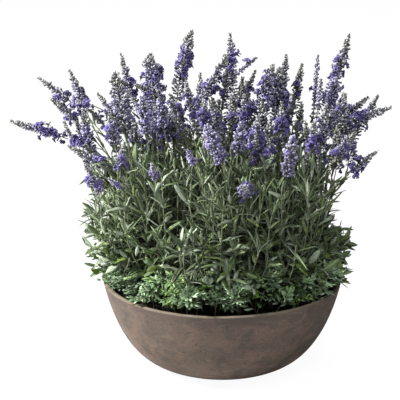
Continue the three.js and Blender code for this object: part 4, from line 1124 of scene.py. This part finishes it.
def add_calyxes(surface, rng, root, at, out, length, fat, draw, tone):
    """Many calyxes: each a four-sided bud, fullest past its middle, on a thin stalk rooted in the stem."""
    count = len(at)
    t, swell = np.array([0.0, 0.26, 0.76]), np.array([0.3, 0.8, 1.0])
    side = square_to(out, np.array([0.3, 0.2, 1.0]) + 0 * out)
    other = np.cross(out, side)
    angle = np.arange(4) / 4 * 2 * np.pi
    disc = np.cos(angle)[:, None] * side[:, None] + np.sin(angle)[:, None] * other[:, None]
    fat = fat * rng.uniform(0.85, 1.15, count)
    rings = (at[:, None] + (t[:, None] * length[:, None, None]) * out[:, None])[:, :, None] + (
        fat[:, None] * swell)[..., None, None] * disc[:, None]
    marks = np.empty(rings.shape[:3] + (4,))
    marks[..., 0] = t[None, :, None]
    marks[..., 1] = np.arange(4) / 4
    marks[..., 2] = draw[:, None, None]
    marks[..., 3] = tone[:, None, None]
    surface.loft(rings, root, at + length[:, None] * out, marks)


def add_open_flowers(surface, rng, size, root, mouth, out, axis):
    """Open flowers: each a tube on a thin stalk from the stem, with five lobes, two up and three down."""
    n = len(mouth)
    up = square_to(out, axis + rng.normal(0, 0.3, out.shape))
    side = np.cross(out, up)
    size = size * rng.uniform(0.78, 1.15, n)
    draw = rng.random(n)
    shade = np.clip(rng.normal(0.5, 0.3, n), 0, 1)
    tube = np.stack([root, mouth - 0.7 * size[:, None] * out, mouth], axis=1)
    surface.stems(tube, np.tile([0.0004, 0.0007, 0.0012], (n, 1)), draw, shade, sides=4, slot=1)
    for angle, long, wide in [(0.5, 0.85, 1.0), (-0.5, 0.85, 1.0), (1.75, 0.8, 0.95),
                              (-1.75, 0.8, 0.95), (math.pi, 1.1, 1.3)]:
        turned = math.cos(angle) * up + math.sin(angle) * side
        open_angle = rng.normal(0.85, 0.2, n)[:, None]
        ahead = np.cos(open_angle) * out + np.sin(open_angle) * turned
        face = square_to(ahead, out)
        bend = rng.normal(0.22, 0.14, n)
        tint = np.clip(draw + rng.normal(0, 0.12, n), 0.02, 1)
        surface.blades(mouth, ahead, face, size * long, size * wide, ((0.36, 0.80), (0.72, 1.0)), bend, 0.15,
                       PETAL_THICKNESS, tint, shade, rng.normal(0, 0.3, n), slot=1)


def build_spikes(settings):
    """All the flower heads, one piece for each plant."""
    calyx, flower = calyx_material(), flower_material(settings)
    for index, plant in enumerate(PLANTS):
        rng = np.random.default_rng(settings.seed * 100 + index)
        surface = Surface()
        for spike in plant["spikes"]:
            add_head(surface, rng, settings, plant, spike)
        piece = surface.object("spikes_" + plant["name"], [calyx, flower])
        start = "spike_" + plant["name"] + "_"
        nodes = [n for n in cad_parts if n.startswith(start) and n[len(start):].isdigit()]
        place(piece, "flower", *sorted(nodes))


def build_edging(settings):
    """The edging herb: short sprigs inside the rim, each with rosettes of lobed leaves.

    The sprigs stand in five rows, the outermost only at the pot's two sides, and gather in clumps by a
    sine of their angle. A sprig is a bare stalk with three rosettes at its top. A leaf is five pointed
    leaflets on one line: two pairs to the sides and one at the end.
    """
    leaf, stem = edging_leaf_material(settings), stem_material()
    sweep = 2 * math.pi / EDGING_SECTORS
    for sector in range(EDGING_SECTORS):
        rng = np.random.default_rng(settings.seed * 10 + sector)
        surface = Surface()
        count = settings.sprigs
        row = np.arange(count) % 5
        angle = (sector + (np.arange(count) + rng.uniform(0.1, 0.9, count)) / count) * sweep
        angle = angle + 0.040 * np.sin(21 * angle)
        flank = (row < 4) | (np.abs(np.cos(angle)) > 0.55)
        row, angle, count = row[flank], angle[flank], int(flank.sum())
        side = np.abs(np.cos(angle))
        radius = np.array([0.164, 0.154, 0.144, 0.134, 0.172])[row] + 0.006 * side
        radius = radius + rng.normal(0, 0.003, count)
        tall = np.array([0.041, 0.049, 0.058, 0.066, 0.022])[row] * rng.uniform(0.8, 1.15, count)
        tall = tall * (1 - np.array([0.0, 0.2, 0.4, 0.5, 0.0])[row] * side ** 3)
        lean = np.array([0.14, 0.2, 0.2, 0.2, 0.1])[row] + rng.normal(0, 0.12, count) + (
            np.array([0.5, 0.5, 0.28, 0.2, 0.4])[row] * side ** 1.3)
        radial, along = round_about(angle)
        base = radius[:, None] * radial + (soil_height(radius) - 0.003)[:, None] * [0, 0, 1.0]
        way = [0, 0, 1.0] + lean[:, None] * radial + rng.normal(0, 0.2, (count, 1)) * along
        tip = base + tall[:, None] * way
        knee = base + 0.5 * (tip - base) + rng.normal(0, 0.002, (count, 3))
        level = np.array([0.68, 0.84, 0.98])
        leaves_at = np.repeat(level, [2, 3, 4])
        point, tangent = bezier((base, knee, tip), np.broadcast_to(leaves_at, (count, 9)))
        hint = square_to(tangent, np.array([1.0, 0.2, 0.1]) + 0 * tangent)
        other = np.cross(tangent, hint)
        turn = np.tile([0, 3.1, 1.0, 3.1, 5.2, 0.2, 1.8, 3.4, 5.0], (count, 1)) + rng.normal(
            0, 0.35, (count, 9)) + rng.uniform(0, 6, (count, 1))
        out = np.cos(turn)[..., None] * hint + np.sin(turn)[..., None] * other
        spread = (np.interp(leaves_at, level, [1.3, 1.05, 0.7]) + rng.normal(0, 0.2, (count, 9)))[..., None]
        way = (np.cos(spread) * tangent + np.sin(spread) * out).reshape(-1, 3)
        face = square_to(way, tangent.reshape(-1, 3))
        size = settings.leaf_length * np.interp(leaves_at, level, [0.95, 1.0, 0.8]) * rng.uniform(
            0.75, 1.2, (count, 9))
        young = np.repeat(rng.random(count) < 0.17, 9)
        draw = np.where(young, rng.random(count * 9) * 0.2, 0.17 + 0.83 * rng.random(count * 9))
        # Painted shade: the lower rosettes get a lower tone and so a darker painted green; on the left the
        # tone and the draw are lowered too, darker and fewer minty.
        tone = np.tile(np.interp(leaves_at, level, [-0.1, 0.35, 1.0]), count)
        tone = tone + rng.normal(0, 0.28, count * 9)
        left = np.repeat(np.clip(-np.cos(angle), 0, 1) ** 1.5, 9)
        tone, draw = tone - 0.15 * left, np.where(young, draw, draw * (1 - 0.15 * left))
        add_lobed_leaves(surface, rng, point.reshape(-1, 3), way, face, size.ravel(), draw,
                         np.clip(tone, 0, 1))
        curve, _ = bezier((base, knee, tip), np.broadcast_to(np.linspace(0, 1, 5), (count, 5)))
        surface.stems(curve, np.full((count, 5), 0.0009), rng.random(count), np.ones(count), slot=1)
        piece = surface.object(f"edging_sprigs_{sector + 1}", [leaf, stem])
        place(piece, "edging", f"edging_herb_{sector + 1}")


def add_lobed_leaves(surface, rng, root, way, face, size, draw, tone):
    """Leaves of five leaflets. Each leaflet starts on the leaf's middle line and turns off it by an angle.

    A leaflet that would cross the bowl or the soil is left out.
    """
    side = np.cross(face, way)
    for start, angle, long in [(0.18, 1.05, 0.46), (0.18, -1.05, 0.46), (0.44, 0.75, 0.44),
                               (0.44, -0.75, 0.44), (0.06, 0.0, 0.90)]:
        turned = angle + (rng.normal(0, 0.14, len(root)) if angle else 0 * size)
        ahead = np.cos(turned)[:, None] * way + np.sin(turned)[:, None] * side
        at = root + (start * size)[:, None] * way - (0.06 * start * size)[:, None] * face
        length = long * size * rng.uniform(0.85, 1.15, len(root))
        bend = rng.normal(0.14, 0.14, len(root))
        lift = square_to(ahead, face)
        clear = clear_of_bowl(at, ahead, lift, length, bend)
        outline = SIDE_LEAFLET if angle else END_LEAFLET
        width = 0.28 * size * rng.uniform(0.72, 1.0, len(root))
        surface.blades(at[clear], ahead[clear], lift[clear], length[clear], width[clear], outline,
                       bend[clear], 0.12, LEAF_THICKNESS, draw[clear], tone[clear])


def build_stage():
    """A wide white floor, a soft light from the left, weaker ones before and behind, and the camera."""
    floor_radius, floor_z = 16, -0.0006
    turn = np.arange(64) / 64 * 2 * np.pi
    edge = np.stack([floor_radius * np.cos(turn), floor_radius * np.sin(turn), np.full(64, floor_z)], axis=-1)
    mesh = bpy.data.meshes.new("floor")
    mesh.from_pydata(edge.tolist(), [], [list(range(64))])
    mesh.materials.append(backdrop_material())
    floor = bpy.data.objects.new("floor", mesh)
    bpy.context.scene.collection.objects.link(floor)

    for name, spot, target, power, size, tint in [
            ("key", (-2.5, -0.44, 1.85), (0, 0, 0.22), 232, 0.55, (1.0, 0.985, 0.96)),
            ("front", (0.4, -1.6, 2.45), (0, 0, 0.2), 38, 0.9, (0.97, 0.985, 1.0)),
            ("back", (-0.9, 1.9, 1.8), (0, 0, 0.3), 20, 1.4, (1.0, 1.0, 1.0))]:
        light = bpy.data.lights.new(name, "AREA")
        light.energy, light.size, light.color = power, size, tint
        lamp = bpy.data.objects.new(name, light)
        way = np.array(target) - np.array(spot)
        lamp.location = spot
        from_down = math.acos(-way[2] / np.linalg.norm(way))
        lamp.rotation_euler = (from_down, 0, math.atan2(way[1], way[0]) - math.pi / 2)
        bpy.context.scene.collection.objects.link(lamp)

    world = bpy.data.worlds.new("studio")
    world.use_nodes = True
    world.node_tree.nodes["Background"].inputs["Color"].default_value = (1, 1, 1, 1)
    world.node_tree.nodes["Background"].inputs["Strength"].default_value = 0.175
    bpy.context.scene.world = world

    eye = bpy.data.cameras.new("camera")
    eye.sensor_width, eye.lens, eye.clip_end = 36.0, 127.4, 50.0
    camera = bpy.data.objects.new("camera", eye)
    looks_down, turned_left = 15.95, 0.943
    camera.location = (0, -2.2716, 0.9322)
    camera.rotation_euler = (math.radians(90 - looks_down), 0, math.radians(turned_left))
    bpy.context.scene.collection.objects.link(camera)
    bpy.context.scene.camera = camera
    bpy.context.scene.view_settings.view_transform = "Standard"


class LAVENDER_OT_bowl(bpy.types.Operator):
    """Build the stoneware bowl"""
    bl_idname = "lavender.bowl"
    bl_label = "Bowl"

    def execute(self, context):
        build_bowl(context.scene.lavender_bowl)
        return {"FINISHED"}


class LAVENDER_OT_soil(bpy.types.Operator):
    """Build the soil in the bowl"""
    bl_idname = "lavender.soil"
    bl_label = "Soil"

    def execute(self, context):
        build_soil(context.scene.lavender_soil)
        return {"FINISHED"}


class LAVENDER_OT_foliage(bpy.types.Operator):
    """Build the leafy shoots and flower stems of every plant"""
    bl_idname = "lavender.foliage"
    bl_label = "Foliage"

    def execute(self, context):
        build_foliage(context.scene.lavender_foliage)
        return {"FINISHED"}


class LAVENDER_OT_spikes(bpy.types.Operator):
    """Build the flower heads of every plant"""
    bl_idname = "lavender.spikes"
    bl_label = "Flower spikes"

    def execute(self, context):
        build_spikes(context.scene.lavender_spikes)
        return {"FINISHED"}


class LAVENDER_OT_edging(bpy.types.Operator):
    """Build the edging herb inside the rim"""
    bl_idname = "lavender.edging"
    bl_label = "Edging herb"

    def execute(self, context):
        build_edging(context.scene.lavender_edging)
        return {"FINISHED"}


class LAVENDER_OT_stage(bpy.types.Operator):
    """Build the floor, the lights and the camera"""
    bl_idname = "lavender.stage"
    bl_label = "Stage"

    def execute(self, context):
        build_stage()
        return {"FINISHED"}


class LAVENDER_PT_panel(bpy.types.Panel):
    bl_idname = "LAVENDER_PT_panel"
    bl_label = "Potted lavender"
    bl_space_type = "VIEW_3D"
    bl_region_type = "UI"
    bl_category = "Lavender"

    def draw(self, context):
        scene = context.scene
        for operator, settings in STEPS:
            box = self.layout.box()
            box.operator(operator.bl_idname)
            if settings:
                group = getattr(scene, settings)
                for name in group.__annotations__:
                    box.prop(group, name)


STEPS = [
    (LAVENDER_OT_bowl, "lavender_bowl"),
    (LAVENDER_OT_soil, "lavender_soil"),
    (LAVENDER_OT_foliage, "lavender_foliage"),
    (LAVENDER_OT_spikes, "lavender_spikes"),
    (LAVENDER_OT_edging, "lavender_edging"),
    (LAVENDER_OT_stage, None),
]
SETTINGS = {
    "lavender_bowl": BowlSettings,
    "lavender_soil": SoilSettings,
    "lavender_foliage": FoliageSettings,
    "lavender_spikes": SpikeSettings,
    "lavender_edging": EdgingSettings,
}


def register():
    """Adds the settings, one operator for each step and the panel."""
    for name, group in SETTINGS.items():
        bpy.utils.register_class(group)
        setattr(bpy.types.Scene, name, PointerProperty(type=group))
    for operator, _ in STEPS:
        bpy.utils.register_class(operator)
    bpy.utils.register_class(LAVENDER_PT_panel)


def unregister():
    """Takes away what register adds."""
    bpy.utils.unregister_class(LAVENDER_PT_panel)
    for operator, _ in reversed(STEPS):
        bpy.utils.unregister_class(operator)
    for name, group in SETTINGS.items():
        delattr(bpy.types.Scene, name)
        bpy.utils.unregister_class(group)


def main():
    register()
    for operator, _ in STEPS:
        category, name = operator.bl_idname.split(".")
        getattr(getattr(bpy.ops, category), name)()


if __name__ == "__main__":
    main()
